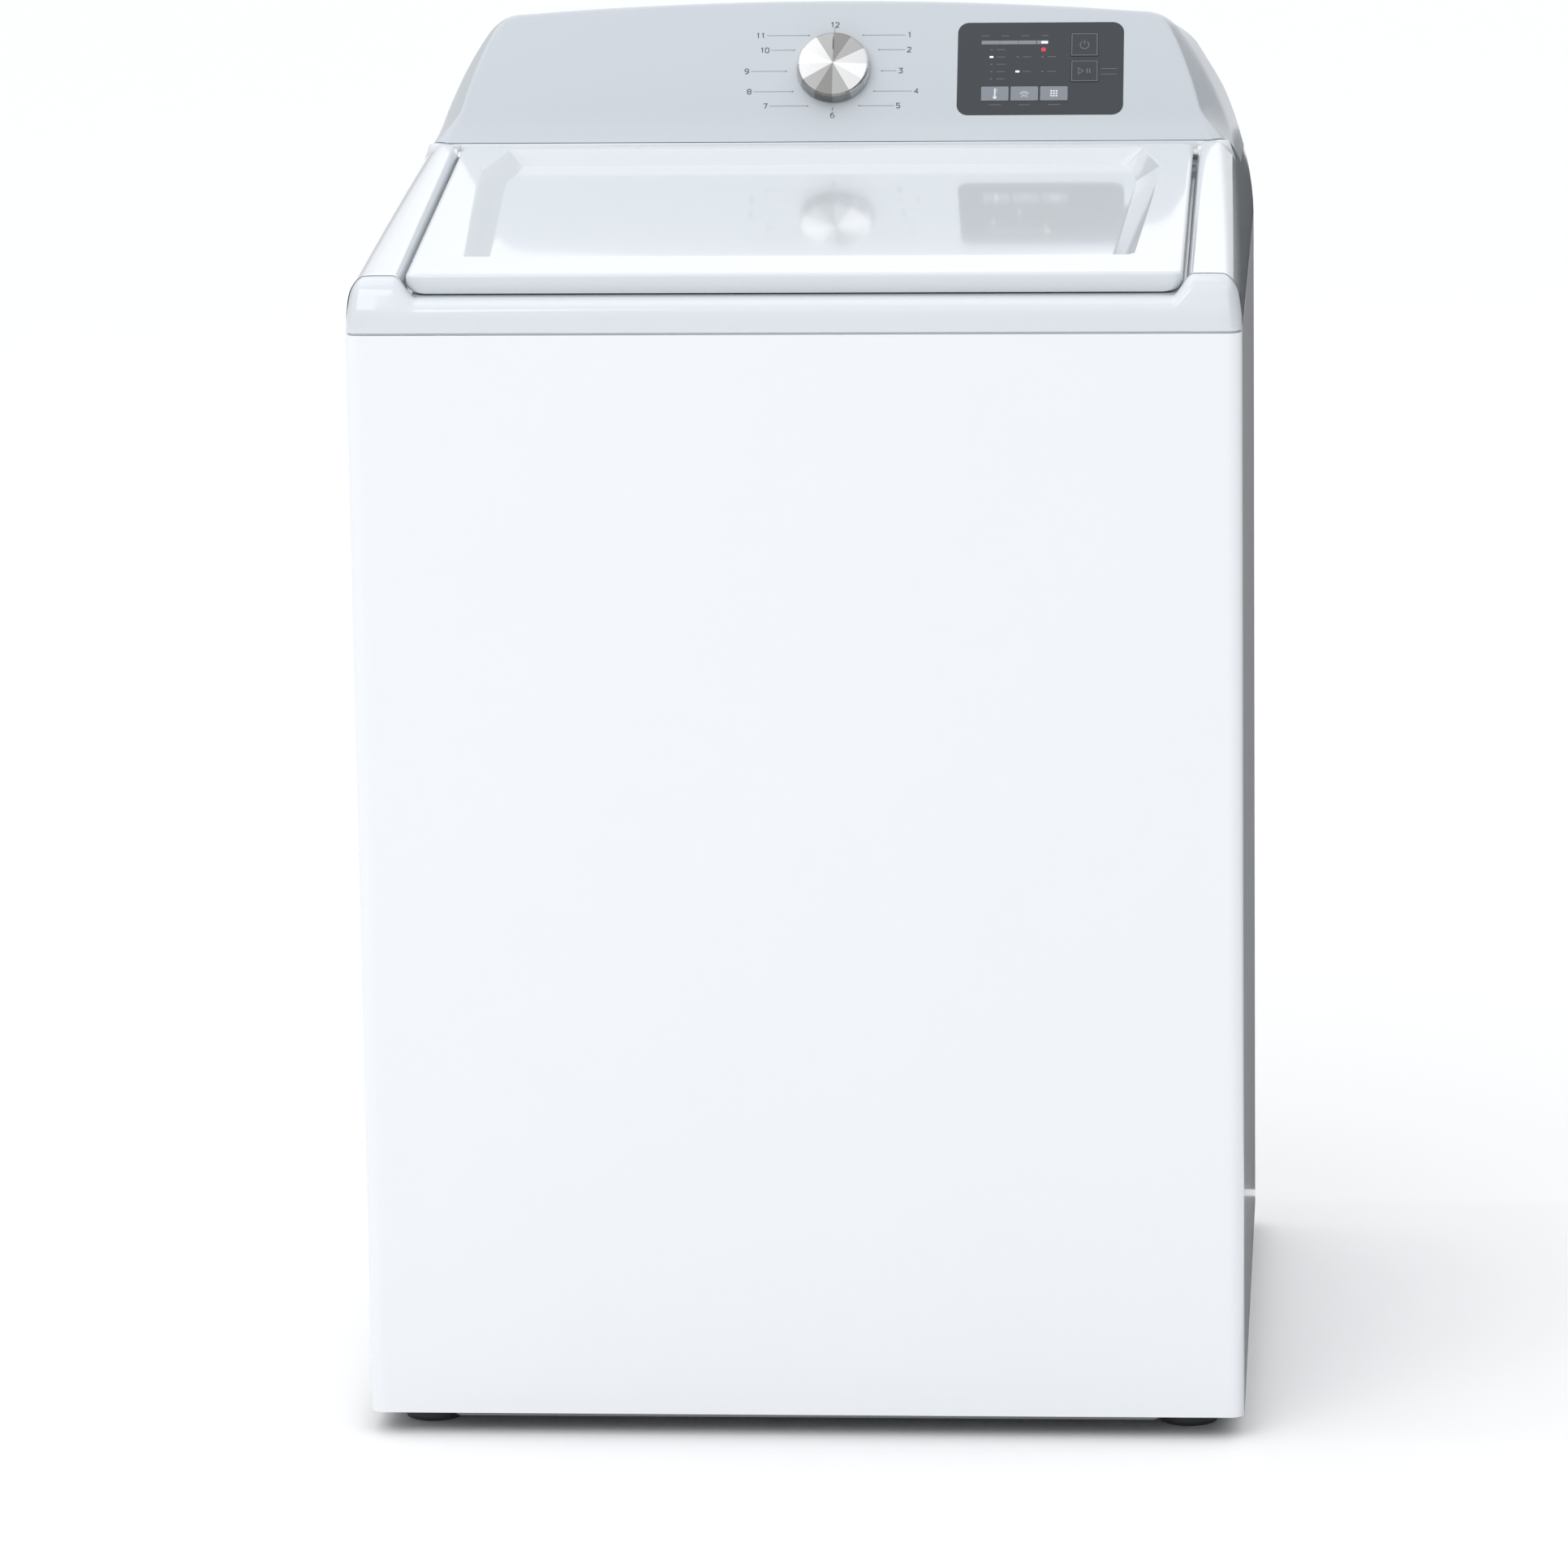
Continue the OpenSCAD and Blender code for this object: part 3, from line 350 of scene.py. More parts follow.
def cover_point(xs, ys, zs, raised):
    """A point of a box with rounded edges, at deck height or at the pocket floor's."""
    edge = ARM_EDGE if raised else FLOOR_EDGE
    y = FRONT + LEAN + edge[1] if ys[0] is None else ys[0]
    height = cover_height(y) - (0 if raised else -POCKET_W / math.cos(DECK_TILT))
    flat = smooth((y - FACE_Y + 0.004) / 0.008)
    rx = lerp(edge[0], 0.0008, flat)
    rz = lerp(edge[2], 0.0008, flat)
    x = math.copysign(HALF - rx, xs[1]) if xs[0] is None else xs[0]
    z = lerp(COVER_LIP, height - rz, zs[0]) if zs[0] >= 0 else -zs[0]
    ry = lerp(0.012, edge[1], smooth(z / LEAN_TOP))
    if ys[0] is None:
        y = FRONT + LEAN + ry
    out = Vector((xs[1], ys[1], zs[1]))
    if out.length > 0:
        out.normalize()
    lip = zs[2]
    p = Vector((x + (rx - lip) * out.x, y + (ry - lip) * out.y, z + rz * out.z))
    lean = LEAN * min(1.0, p.z / LEAN_TOP) ** 2.4
    p.y -= (LEAN - lean) * (1 - smooth((p.y - FRONT) / 0.06))
    side = WALL_X + WALL_SPAN[1]
    reach = min(1.0, max(0.0, (abs(p.x) - side) / (HALF - rx - side)))
    p.x -= math.copysign((HALF - flank_x(p.z)) * reach, p.x)
    return p + Vector((0, 0, SEAM))


def cover_vertex(xs, ys, zs):
    """Blends the pocket's floor into the raised arms and the strip behind the lid."""
    if xs[0] is None:
        return cover_point(xs, ys, zs, True)
    t = (abs(xs[0]) - WALL_X - WALL_SPAN[0]) / (WALL_SPAN[1] - WALL_SPAN[0])
    share = rolled(t)
    if -0.01 < t < 1.01:
        # in front of the lid the wall spreads into a hollow fillet
        turn = 2 * math.acos(1 - min(1.0, max(0.0, t))) / math.pi
        depth = -1.0 if ys[0] is None else (ys[0] - DECK_Y) / math.cos(DECK_TILT)
        spread = 1 - smooth((depth - WALL_TURN[0]) / (WALL_TURN[1] - WALL_TURN[0]))
        spot = WALL_X + lerp(WALL_FOOT, WALL_SPAN[1], turn)
        xs = (math.copysign(lerp(abs(xs[0]), spot, spread), xs[0]), xs[1])
        share = lerp(share, smooth(turn), spread)
    if ys[0] is not None:
        behind = steep((ys[0] - WALL_Y) / WALL_Y_SPAN)
        share = 1 - (1 - share) * (1 - behind)
    if share == 0:
        return cover_point(xs, ys, zs, False)
    return cover_point(xs, ys, zs, False).lerp(cover_point(xs, ys, zs, True), share)


def make_top_cover():
    """Top cover with the pocket for the lid and the wash opening."""
    folds = edge_stops()
    wall = [WALL_X + lerp(*WALL_SPAN, 1 - math.cos(math.radians(90) * i / 8)) for i in range(9)]
    arm = wall + [0.317, 0.324, 0.331]
    middle = [CUP_X[0], CUP_X[1], -HOLE_HALF, -0.16, -0.08, 0, 0.08, 0.16, HOLE_HALF, *SLOT_X]
    across = [(None, -k) for k in folds]
    across += [(-x, 0) for x in reversed(arm)]
    across += [(x, 0) for x in middle]
    across += [(x, 0) for x in arm]
    across += [(None, k) for k in reversed(folds)]
    along = [(None, -k) for k in folds]
    along += [(deck_row(v), 0) for v in (-0.0030, -0.0015, 0, 0.0015, 0.003, 0.0045, 0.0065, 0.012, 0.024)]
    along += [(deck_row(v), 0) for v in (HOLE_V[0], SLOT_V[0], CUP_V[0], SLOT_V[1], CUP_V[1])]
    along += [(deck_row(v), 0) for v in (0.22, 0.30, HOLE_V[1])]
    along += [(WALL_Y + WALL_Y_SPAN * i / 6, 0) for i in range(7)]
    along += [(FACE_Y + d, 0) for d in (-0.002, 0.0, 0.002, 0.004, 0.020, 0.038, 0.078)]
    along += [(REAR, 0)]
    rising = [(-0.00005, 0, 0.0022), (-COVER_LIP, 0, 0.0022), (0, 0, 0), (0.2, 0, 0), (0.4, 0, 0)]
    rising += [(0.6, 0, 0), (0.8, 0, 0), (1, 0, 0)]
    rising += [(1, k, 0) for k in reversed(folds)]

    def open_cell(i, j):
        x = (across[i][0], across[i + 1][0])
        y = (along[j][0], along[j + 1][0])
        if None in x or None in y:
            return False
        middle_x = sum(x) / 2
        middle_v = (sum(y) / 2 - DECK_Y) / math.cos(DECK_TILT)
        return any(
            low_x < middle_x < high_x and low_v < middle_v < high_v
            for (low_x, high_x), (low_v, high_v) in (
                ((-HOLE_HALF, HOLE_HALF), HOLE_V),
                (SLOT_X, SLOT_V),
                (CUP_X, CUP_V),
            )
        )

    points = []
    faces = []

    def sheet(columns, rows, vertex, keep=lambda i, j: True):
        start = len(points)
        points.extend(vertex(c, r) for r in rows for c in columns)
        made = quads(len(rows), len(columns), start)
        for n, face in enumerate(made):
            j, i = divmod(n, len(columns) - 1)
            if keep(i, j):
                faces.append(face)

    top = (1, 1, 0)
    sheet(across, rising, lambda c, r: cover_vertex(c, (None, -1), r))
    sheet(across, along, lambda c, r: cover_vertex(c, r, top), lambda i, j: not open_cell(i, j))
    for side in (-1, 1):
        sheet(along, rising, lambda c, r: cover_vertex((None, side), c, r))
    sheet(across, rising, lambda c, r: cover_vertex(c, (REAR, 0), r))

    # ring from the square hole to the rounded opening, then the funnel
    loops = [
        (HOLE_HALF, 0.179, 0.0001, 0),
        (0.2405, 0.1755, 0.0895, 0),
        (0.2392, 0.1742, 0.0882, -0.0004),
        (0.2383, 0.1733, 0.0873, -0.0013),
        (0.2380, 0.1730, 0.0870, -0.0026),
        (0.2375, 0.1725, 0.0865, -0.0385),
        (0.2410, 0.1760, 0.0900, -0.0385),
        (0.2410, 0.1760, 0.0900, -0.0100),
    ]
    start = len(points)
    for half_u, half_v, r, w in loops:
        # the sheet's rows are upright, so its hole stands a little further forward on the deck
        middle_v = HOLE_MIDDLE + (POCKET_W * math.tan(DECK_TILT) if half_u == HOLE_HALF else 0)
        square = [(half_u, -half_v), (half_u, half_v), (-half_u, half_v), (-half_u, -half_v)]
        ring = round_corners(square, r, RING_N)
        points.extend(on_deck(u, v + middle_v, POCKET_W + w) for u, v in ring)
    faces += quads(len(loops), 4 * (RING_N + 1), start, closed=True)
    skin("top_cover_moulding", points, faces, "top_white", "cabinet", ["top_cover"], sharp=50)


def round_corners(corners, radii, n):
    """Closed outline with n + 1 points round each corner; a straight corner gets them in a row."""
    if not isinstance(radii, (list, tuple)):
        radii = [radii] * len(corners)
    outline = []
    for i, corner in enumerate(corners):
        here = Vector(corner)
        back = (Vector(corners[i - 1]) - here).normalized()
        ahead = (Vector(corners[(i + 1) % len(corners)]) - here).normalized()
        half = back.angle(ahead) / 2
        cut = radii[i] / math.tan(half) if half < 1.5 else radii[i]
        first = here + back * cut
        last = here + ahead * cut
        if half >= 1.5:
            outline += [first.lerp(last, k / n) for k in range(n + 1)]
            continue
        centre = here + (back + ahead).normalized() * (radii[i] / math.sin(half))
        a = first - centre
        b = last - centre
        turn = a.angle(b)
        for k in range(n + 1):
            t = k / n
            outline.append(centre + (a * math.sin((1 - t) * turn) + b * math.sin(t * turn)) / math.sin(turn))
    return [tuple(p) for p in outline]


make_top_cover()


# ---- lid ----

LID_T = 0.016
LID_NOSE = 0.0012
LID_ROLL = 0.009
LID_ROUND = 0.0036
LID_CORNER = 0.007
RECESS = 0.011
WIDEST_V = (0.330, 0.350)


def lid_outline(half, front, rear, r, n=5):
    """Outline of the lid with a straight corner on each side, so that it pairs with the recess."""
    right = [(half, front), (half, WIDEST_V[0]), (half, WIDEST_V[1]), (half, rear)]
    left = [(-u, v) for u, v in reversed(right)]
    return round_corners(right + left, [r, 0.004, 0.004, r, r, 0.004, 0.004, r], n)


def recess_outline(grow, r, n=5):
    """Outline of the recess at the lid's top, narrowing towards its front and its rear."""
    widest = [(0.278 + grow, v) for v in WIDEST_V]
    right = [(0.264, 0.057 - grow), *widest, (0.262, 0.417 + grow)]
    left = [(-u, v) for u, v in reversed(right)]
    return round_corners(right + left, [r, 0.012, 0.012, r, r, 0.012, 0.012, r], n)


def recess_floor(shrink, r, n=5):
    """Outline of the recess at its floor, inside the one at the top."""
    right = [
        (0.244 - shrink, 0.064 + shrink),
        (0.257 - shrink, 0.330),
        (0.257 - shrink, 0.345),
        (0.248 - shrink, 0.405 - shrink),
    ]
    left = [(-u, v) for u, v in reversed(right)]
    return round_corners(right + left, [r, 0.010, 0.010, r, r, 0.010, 0.010, r], n)


def make_lid():
    """Lid with rounded edges and a recess in its top."""
    loops = []
    # rounded lower side edges, then the upright edge and its rounded top
    for k in range(5):
        turn = math.radians(90) * k / 4
        half = LID_HALF - LID_ROLL * (1 - math.sin(turn))
        outline = lid_outline(half, LID_NOSE * math.cos(turn), LID_LEN, LID_CORNER)
        loops.append((outline, -LID_T + LID_ROLL * (1 - math.cos(turn))))
    for k in range(6):
        turn = math.radians(90) * k / 5
        inset = LID_ROUND * (1 - math.cos(turn))
        outline = lid_outline(LID_HALF - inset, inset, LID_LEN - inset, LID_CORNER)
        loops.append((outline, -LID_ROUND * (1 - math.sin(turn))))
    loops.append((recess_outline(0.0015, 0.007), 0))
    loops.append((recess_outline(0.0003, 0.006), -0.0003))
    top = recess_outline(0, 0.006)
    floor = recess_floor(0, 0.010)
    for t in (0.08, 0.5, 0.92):
        side = [(lerp(a[0], b[0], t), lerp(a[1], b[1], t)) for a, b in zip(top, floor)]
        loops.append((side, -RECESS * lerp(0.03, 0.97, (t - 0.08) / 0.84) - 0.0002))
    loops.append((floor, -RECESS + 0.0001))
    loops.append((recess_floor(0.003, 0.008), -RECESS))
    points = [on_deck(u, v, w) for outline, w in loops for u, v in outline]
    width = len(loops[0][0])
    faces = quads(len(loops), width, closed=True)
    faces.append(tuple(range(len(points) - width, len(points))))
    skin("lid_moulding", points, faces, "top_white", "lid", ["lid_panel"], sharp=40)


make_lid()

# ---- console ----

RIM_N = 7
SIN_FACE = math.sin(FACE_TILT)
COS_FACE = math.cos(FACE_TILT)
FACE_OUT = Vector((0, -COS_FACE, SIN_FACE))
WINDOW_U = (0.113, 0.237)
WINDOW_V = (0.030, 0.102)
TAPER = 0.235
TAPER_END = 0.080
TAPER_SOFT = 0.012
TAPER_H = 0.088
TAPER_SPAN = 0.030
RIM_R = (0.018, 0.0045)
RIM_V = -0.004
RIM_SPAN = 0.030
DRAW_IN = 0.20
DRAW_Z = 0.99
DRAW_SPAN = 0.05
SINK_Z = 1.035
SINK_SPAN = 0.045
FLARE = 0.004
FLARE_V = 0.026
FLANGE = 0.010
FLANGE_IN = 0.0030
COVER_TOP = 1.0455


def side_inset(y):
    """How far the sides stand in at a place in depth: they widen from the face to the rear."""
    s = FACE_Y + TAPER_END - y
    if s < -TAPER_SOFT:
        return 0.0
    if s < TAPER_SOFT:
        return TAPER * (s + TAPER_SOFT) ** 2 / (4 * TAPER_SOFT)
    return TAPER * s


def flank_station(t):
    """Outline point, its outward normal, and how much of the taper it takes."""
    curve, s = (FLANK, t) if t <= 1 else (SHOULDER, t - 1)
    (x, h), (dx, dh) = cubic(curve, s)
    length = math.hypot(dx, dh)
    share = smooth((h - TAPER_H) / TAPER_SPAN)
    return x, SEAM + h, dh / length, -dx / length, share


def crest_station(x):
    """The same for a place along the crest."""
    slope = -2 * CREST_FALL * x / CREST_HALF**2
    length = math.hypot(1, slope)
    height = SEAM + CREST - CREST_FALL * (x / CREST_HALF) ** 2
    return x, height, -slope / length, 1 / length, abs(x) / CREST_HALF


def rear_drop(y):
    """How far the crest has fallen by a place in depth."""
    stops = ((FACE_Y + 0.07, 0.0), (REAR - 0.014, 0.017), (REAR - 0.004, 0.022), (REAR, 0.029))
    for (y_a, fall_a), (y_b, fall_b) in zip(stops, stops[1:]):
        if y <= y_b:
            return lerp(fall_a, fall_b, max(0.0, (y - y_a) / (y_b - y_a)))
    return stops[-1][1]


def sink(p):
    """Lets the crest and the shoulders fall and draw in towards the rear."""
    drop = rear_drop(p.y)
    p.x -= math.copysign(DRAW_IN * drop * smooth((p.z - DRAW_Z) / DRAW_SPAN), p.x)
    p.z -= drop * smooth((p.z - SINK_Z) / SINK_SPAN)
    return p


def run_back(start, side, sx, sz, share):
    """Points from a start on the side straight back to the rear edge and round it."""
    turn_r = 0.006
    line = []
    for t in (0.06, 0.14, 0.22, 0.30, 0.37, 0.44, 0.6, 0.8, 0.92, 1):
        y = lerp(start.y, REAR - turn_r, t)
        out = share * (side_inset(start.y) - side_inset(y))
        line.append(Vector((start.x + side * out, y, start.z)))
    end = line[-1]
    for k in range(1, 5):
        a = math.radians(90) * k / 4
        inset = turn_r * (1 - math.cos(a))
        line.append(Vector((end.x - sx * inset, REAR - turn_r * (1 - math.sin(a)), end.z - sz * inset)))
    # flange that the rear sheet lies on
    for inset in (turn_r + 0.0004, turn_r + FLANGE):
        line.append(Vector((end.x - sx * inset, REAR - FLANGE_IN, end.z - sz * inset)))
    return [sink(p) for p in line]


def rim_strip(station):
    """Points from the control face over its edge to the rear."""
    x, z, sx, sz, share = station
    side = math.copysign(1, x)
    y = FACE_Y + (z - FACE_Z) * SIN_FACE / COS_FACE
    v = (z - FACE_Z) / COS_FACE
    outward = Vector((sx, -abs(sx) * TAPER * share, sz)).normalized()
    r = lerp(*RIM_R, smooth((v - RIM_V) / RIM_SPAN))
    corner = Vector((x - side * share * side_inset(y), y, z))
    centre = corner - (FACE_OUT + outward) * (r / (1 + FACE_OUT.dot(outward)))
    turn = FACE_OUT.angle(outward)
    strip = []
    for k in range(RIM_N):
        t = k / (RIM_N - 1)
        way = (FACE_OUT * math.sin((1 - t) * turn) + outward * math.sin(t * turn)) / math.sin(turn)
        point = centre + way * r
        foot_v = max(0.0, (point.z - FACE_Z) / COS_FACE)
        point.y -= FLARE * max(0.0, 1 - foot_v / FLARE_V) ** 2 * (1 - t)
        strip.append(point)
    return strip + run_back(strip[-1], side, sx, sz, share)


def station_v(t):
    """How far up the control face the rim's inner edge starts."""
    return (rim_strip(flank_station(t))[0].z - FACE_Z) / COS_FACE


def foot_strip(h):
    """The same row below the control face, where the side starts at the sloping foot."""
    t = solve(lambda q: cubic(FLANK, q)[0][1], h, 0, 1)
    x, z, sx, sz, share = flank_station(t)
    foot = deck_height(FACE_Y) - SEAM
    if h > foot - UNDER_DROP:
        y = FACE_Y + UNDER_RUN * (foot - h) / UNDER_DROP
    else:
        y = FACE_Y + UNDER_RUN + TROUGH_RUN * (foot - UNDER_DROP - h) / (foot - UNDER_DROP - TROUGH)
    start = Vector((x - share * side_inset(y), y, z))
    return [start] * RIM_N + run_back(start, 1, sx, sz, share)


def make_console():
    """Console shell with its control face."""
    rows_v = [0, 0.004, 0.009, 0.014, 0.019, 0.0256, 0.030, 0.040, 0.050, 0.060, 0.070, 0.080, 0.091, 0.102]
    rows_t = [solve(station_v, v, 0, 2) for v in rows_v]
    rows_t += [lerp(rows_t[-1], 2, k / 8) for k in range(1, 9)]
    spread = [0, 0.038, 0.075, 0.113, 0.144, 0.175, 0.206, 0.237]
    columns = [-u for u in reversed(spread[1:])] + spread
    crest = [0.90 * u for u in columns]
    feet = [0.063, 0.070, 0.07785, 0.0825]

    right = [foot_strip(h) for h in feet] + [rim_strip(flank_station(t)) for t in rows_t]
    left = [[Vector((-p.x, p.y, p.z)) for p in strip] for strip in right]
    top = [rim_strip(crest_station(x)) for x in reversed(crest)]
    strips = right + top + left[::-1]
    points = [p for strip in strips for p in strip]
    faces = quads(len(strips), len(strips[0]))

    # control face: rows between the rim's inner edges, with the panel's window left open
    start = len(points)
    width = len(columns) + 2
    for i, t in enumerate(rows_t):
        edge = right[len(feet) + i][0]
        squeeze = lerp(1, 0.90, smooth((station_v(t) - 0.102) / (station_v(2) - 0.102)))
        points.append(Vector((-edge.x, edge.y, edge.z)))
        points.extend(Vector((u * squeeze, edge.y, edge.z)) for u in columns)
        points.append(edge)
    ends = [strip[0] for strip in top]
    points.append(points[start + (len(rows_t) - 1) * width])
    points.extend(reversed(ends))
    points.append(right[-1][0])
    for n, face in enumerate(quads(len(rows_t) + 1, width, start)):
        j, i = divmod(n, width - 1)
        inside_u = 0 < i < width - 2 and WINDOW_U[0] <= columns[i - 1] < WINDOW_U[1]
        inside_v = j + 1 < len(rows_v) and WINDOW_V[0] <= rows_v[j] < WINDOW_V[1]
        if not (inside_u and inside_v):
            faces.append(face)

    # rear wall above the sheet cover
    rear = [strip[-3] for strip in strips if strip[-3].z > COVER_TOP + 0.0005]
    start = len(points)
    points.extend(rear)
    ends = (rear[-1].x, rear[0].x)
    points.extend(Vector((x, REAR, COVER_TOP)) for x in ends)
    faces.append(tuple(range(start, len(points))))
    start = len(points) - 2
    points.extend(Vector((x, REAR - FLANGE_IN, COVER_TOP - 0.0003)) for x in ends)
    points.extend(Vector((x, REAR - FLANGE_IN, COVER_TOP - FLANGE)) for x in ends)
    faces += quads(3, 2, start)
    skin("console_moulding", points, faces, "console_white", "cabinet", ["console_housing"], sharp=40)


make_console()

# ---- lid underside ----


def make_lid_pan():
    """Pan that closes the lid from below, with a shallow panel pressed into its middle."""
    loops = [
        (lid_outline(LID_HALF - 0.0100, 0.0030, LID_LEN - 0.012, 0.006), -0.0130),
        (lid_outline(LID_HALF - 0.0104, 0.0034, LID_LEN - 0.012, 0.006), -0.0156),
        (lid_outline(LID_HALF - 0.0130, 0.0060, LID_LEN - 0.014, 0.006), -0.0160),
        (lid_outline(LID_HALF - 0.0480, 0.0480, LID_LEN - 0.055, 0.024), -0.0160),
        (lid_outline(LID_HALF - 0.0520, 0.0520, LID_LEN - 0.059, 0.022), -0.0152),
        (lid_outline(LID_HALF - 0.0560, 0.0560, LID_LEN - 0.063, 0.020), -0.0144),
    ]
    points = [on_deck(u, v, w) for outline, w in loops for u, v in outline]
    width = len(loops[0][0])
    faces = quads(len(loops), width, closed=True)
    faces.append(tuple(range(len(points) - width, len(points))))
    skin("lid_pan", points, faces, "white_plastic", "lid", ["lid_liner"], sharp=50)


make_lid_pan()

# ---- knob ----

FACETS = 12
KNOB_STEPS = 48
KNOB_TOP = 0.0144
FACET_R = 0.0281
FACET_FALL = 0.0023


def knob_metal():
    """Satin metal, brushed outwards from the middle, with a painted reflection: facets dark where they face
    up or down and light where they face the sides.
    """
    made, tree, shader = principled("knob_brushed_painted_sheen", 0.3, metallic=1.0)
    coords = tree.nodes.new("ShaderNodeTexCoord")
    parts = tree.nodes.new("ShaderNodeSeparateXYZ")
    tree.links.new(coords.outputs["Object"], parts.inputs["Vector"])
    turn = tree.nodes.new("ShaderNodeMath")
    turn.operation = "ARCTAN2"
    tree.links.new(parts.outputs["X"], turn.inputs[0])
    tree.links.new(parts.outputs["Y"], turn.inputs[1])
    streaks = tree.nodes.new("ShaderNodeTexNoise")
    streaks.noise_dimensions = "1D"
    streaks.inputs["Scale"].default_value = 60
    streaks.inputs["Detail"].default_value = 4
    tree.links.new(turn.outputs["Value"], streaks.inputs["W"])
    whole = tree.nodes.new("ShaderNodeMath")
    whole.operation = "SNAP"
    whole.inputs[1].default_value = 2 * math.pi / FACETS
    tree.links.new(turn.outputs["Value"], whole.inputs[0])
    # painted reflection: each facet's turn sets how bright it is, standing in for the highlights of brushed
    # metal
    facet_sheen_wave = tree.nodes.new("ShaderNodeMath")
    facet_sheen_wave.operation = "SINE"
    tree.links.new(whole.outputs["Value"], facet_sheen_wave.inputs[0])
    square = tree.nodes.new("ShaderNodeMath")
    square.operation = "MULTIPLY"
    tree.links.new(facet_sheen_wave.outputs["Value"], square.inputs[0])
    tree.links.new(facet_sheen_wave.outputs["Value"], square.inputs[1])
    # painted reflection: dark grey on the facets facing up and down, light grey on those facing the sides
    painted_sheen_colour = blend_colours(tree, square.outputs["Value"], (0.22, 0.22, 0.21), (0.72, 0.72, 0.72))
    tree.links.new(painted_sheen_colour, shader.inputs["Base Color"])
    tree.links.new(ramp(tree, streaks.outputs["Fac"], 0.22, 0.36), shader.inputs["Roughness"])
    bump(tree, shader, streaks.outputs["Fac"], 0.2, 0.00002)
    return made


def make_knob():
    """Knob with a round side, a top of flat facets and a pointer line."""
    profile = [
        (0.0293, 0.0008),
        (0.0304, 0.0010),
        (0.0305, 0.0016),
        (0.0305, 0.0026),
        (0.0304, 0.0030),
        (0.0299, 0.0100),
        (0.0297, 0.0106),
        (0.0292, 0.0111),
        (0.0283, 0.0117),
    ]
    ring = [math.radians(360) * k / KNOB_STEPS for k in range(KNOB_STEPS)]
    points = [Vector((r * math.sin(a), r * math.cos(a), w)) for r, w in profile for a in ring]
    sector = math.radians(360) / FACETS
    for a in ring:
        off = (a % sector) - sector / 2
        fall = FACET_FALL * math.cos(off) / math.cos(sector / 2)
        points.append(Vector((FACET_R * math.sin(a), FACET_R * math.cos(a), KNOB_TOP - fall)))
    faces = quads(len(profile) + 1, KNOB_STEPS, closed=True)
    start = len(points) - KNOB_STEPS
    points.append(Vector((0, 0, KNOB_TOP)))
    step = KNOB_STEPS // FACETS
    for k in range(FACETS):
        rim = [start + (k * step + i) % KNOB_STEPS for i in range(step + 1)]
        faces.append((*rim, len(points) - 1))
    place = Matrix((
        (1, 0, 0, 0),
        (0, SIN_FACE, -COS_FACE, 0),
        (0, COS_FACE, SIN_FACE, 0),
        (0, 0, 0, 1),
    ))
    place.translation = on_face(*KNOB, 0)
    skin("knob_cap", points, faces, "knob_metal", "knob", ["cycle_knob"], place, 3, knob_metal())
    half = 0.0006
    pointer = [
        Vector((-half, 0.0125, 0.0134)),
        Vector((half, 0.0125, 0.0134)),
        Vector((half, 0.0279, 0.0121)),
        Vector((half, 0.0290, 0.0112)),
        Vector((-half, 0.0290, 0.0112)),
        Vector((-half, 0.0279, 0.0121)),
    ]
    skin("knob_pointer", pointer, [(0, 1, 2, 5), (5, 2, 3, 4)], "grey_plastic", "knob", place=place)


make_knob()

# ---- printing on the control face ----

FONT = {
    "0": [[(0, 1), (0, 5), (1, 6), (3, 6), (4, 5), (4, 1), (3, 0), (1, 0), (0, 1)]],
    "1": [[(1, 4.8), (2.4, 6), (2.4, 0)]],
    "2": [[(0, 5), (1, 6), (3, 6), (4, 5), (4, 4), (0, 0), (4, 0)]],
    "3": [[(0, 6), (4, 6), (1.9, 3.6), (3, 3.6), (4, 2.6), (4, 1), (3, 0), (1, 0), (0, 1)]],
    "4": [[(3, 0), (3, 6), (0, 1.8), (4, 1.8)]],
    "5": [[(4, 6), (0.4, 6), (0.2, 3.5), (3, 3.5), (4, 2.6), (4, 1), (3, 0), (1, 0), (0, 0.8)]],
    "6": [[(3.6, 6), (1.4, 6), (0, 4.4), (0, 1), (1, 0), (3, 0), (4, 1), (4, 2.5), (3, 3.5), (0, 3.5)]],
    "7": [[(0, 6), (4, 6), (1.6, 0)]],
    "8": [
        [(1, 3.2), (0, 4), (0, 5), (1, 6), (3, 6), (4, 5), (4, 4), (3, 3.2), (1, 3.2)],
        [(1, 3.2), (0, 2.3), (0, 1), (1, 0), (3, 0), (4, 1), (4, 2.3), (3, 3.2)],
    ],
    "9": [[(0.4, 0), (2.6, 0), (4, 1.6), (4, 5), (3, 6), (1, 6), (0, 5), (0, 3.5), (1, 2.5), (4, 2.5)]],
}
DIGIT = 0.0044
ADVANCE = 5.6
GAP = 1.6
STROKE = 0.00075
DOT = 0.0007
PRINT_W = 0.00016


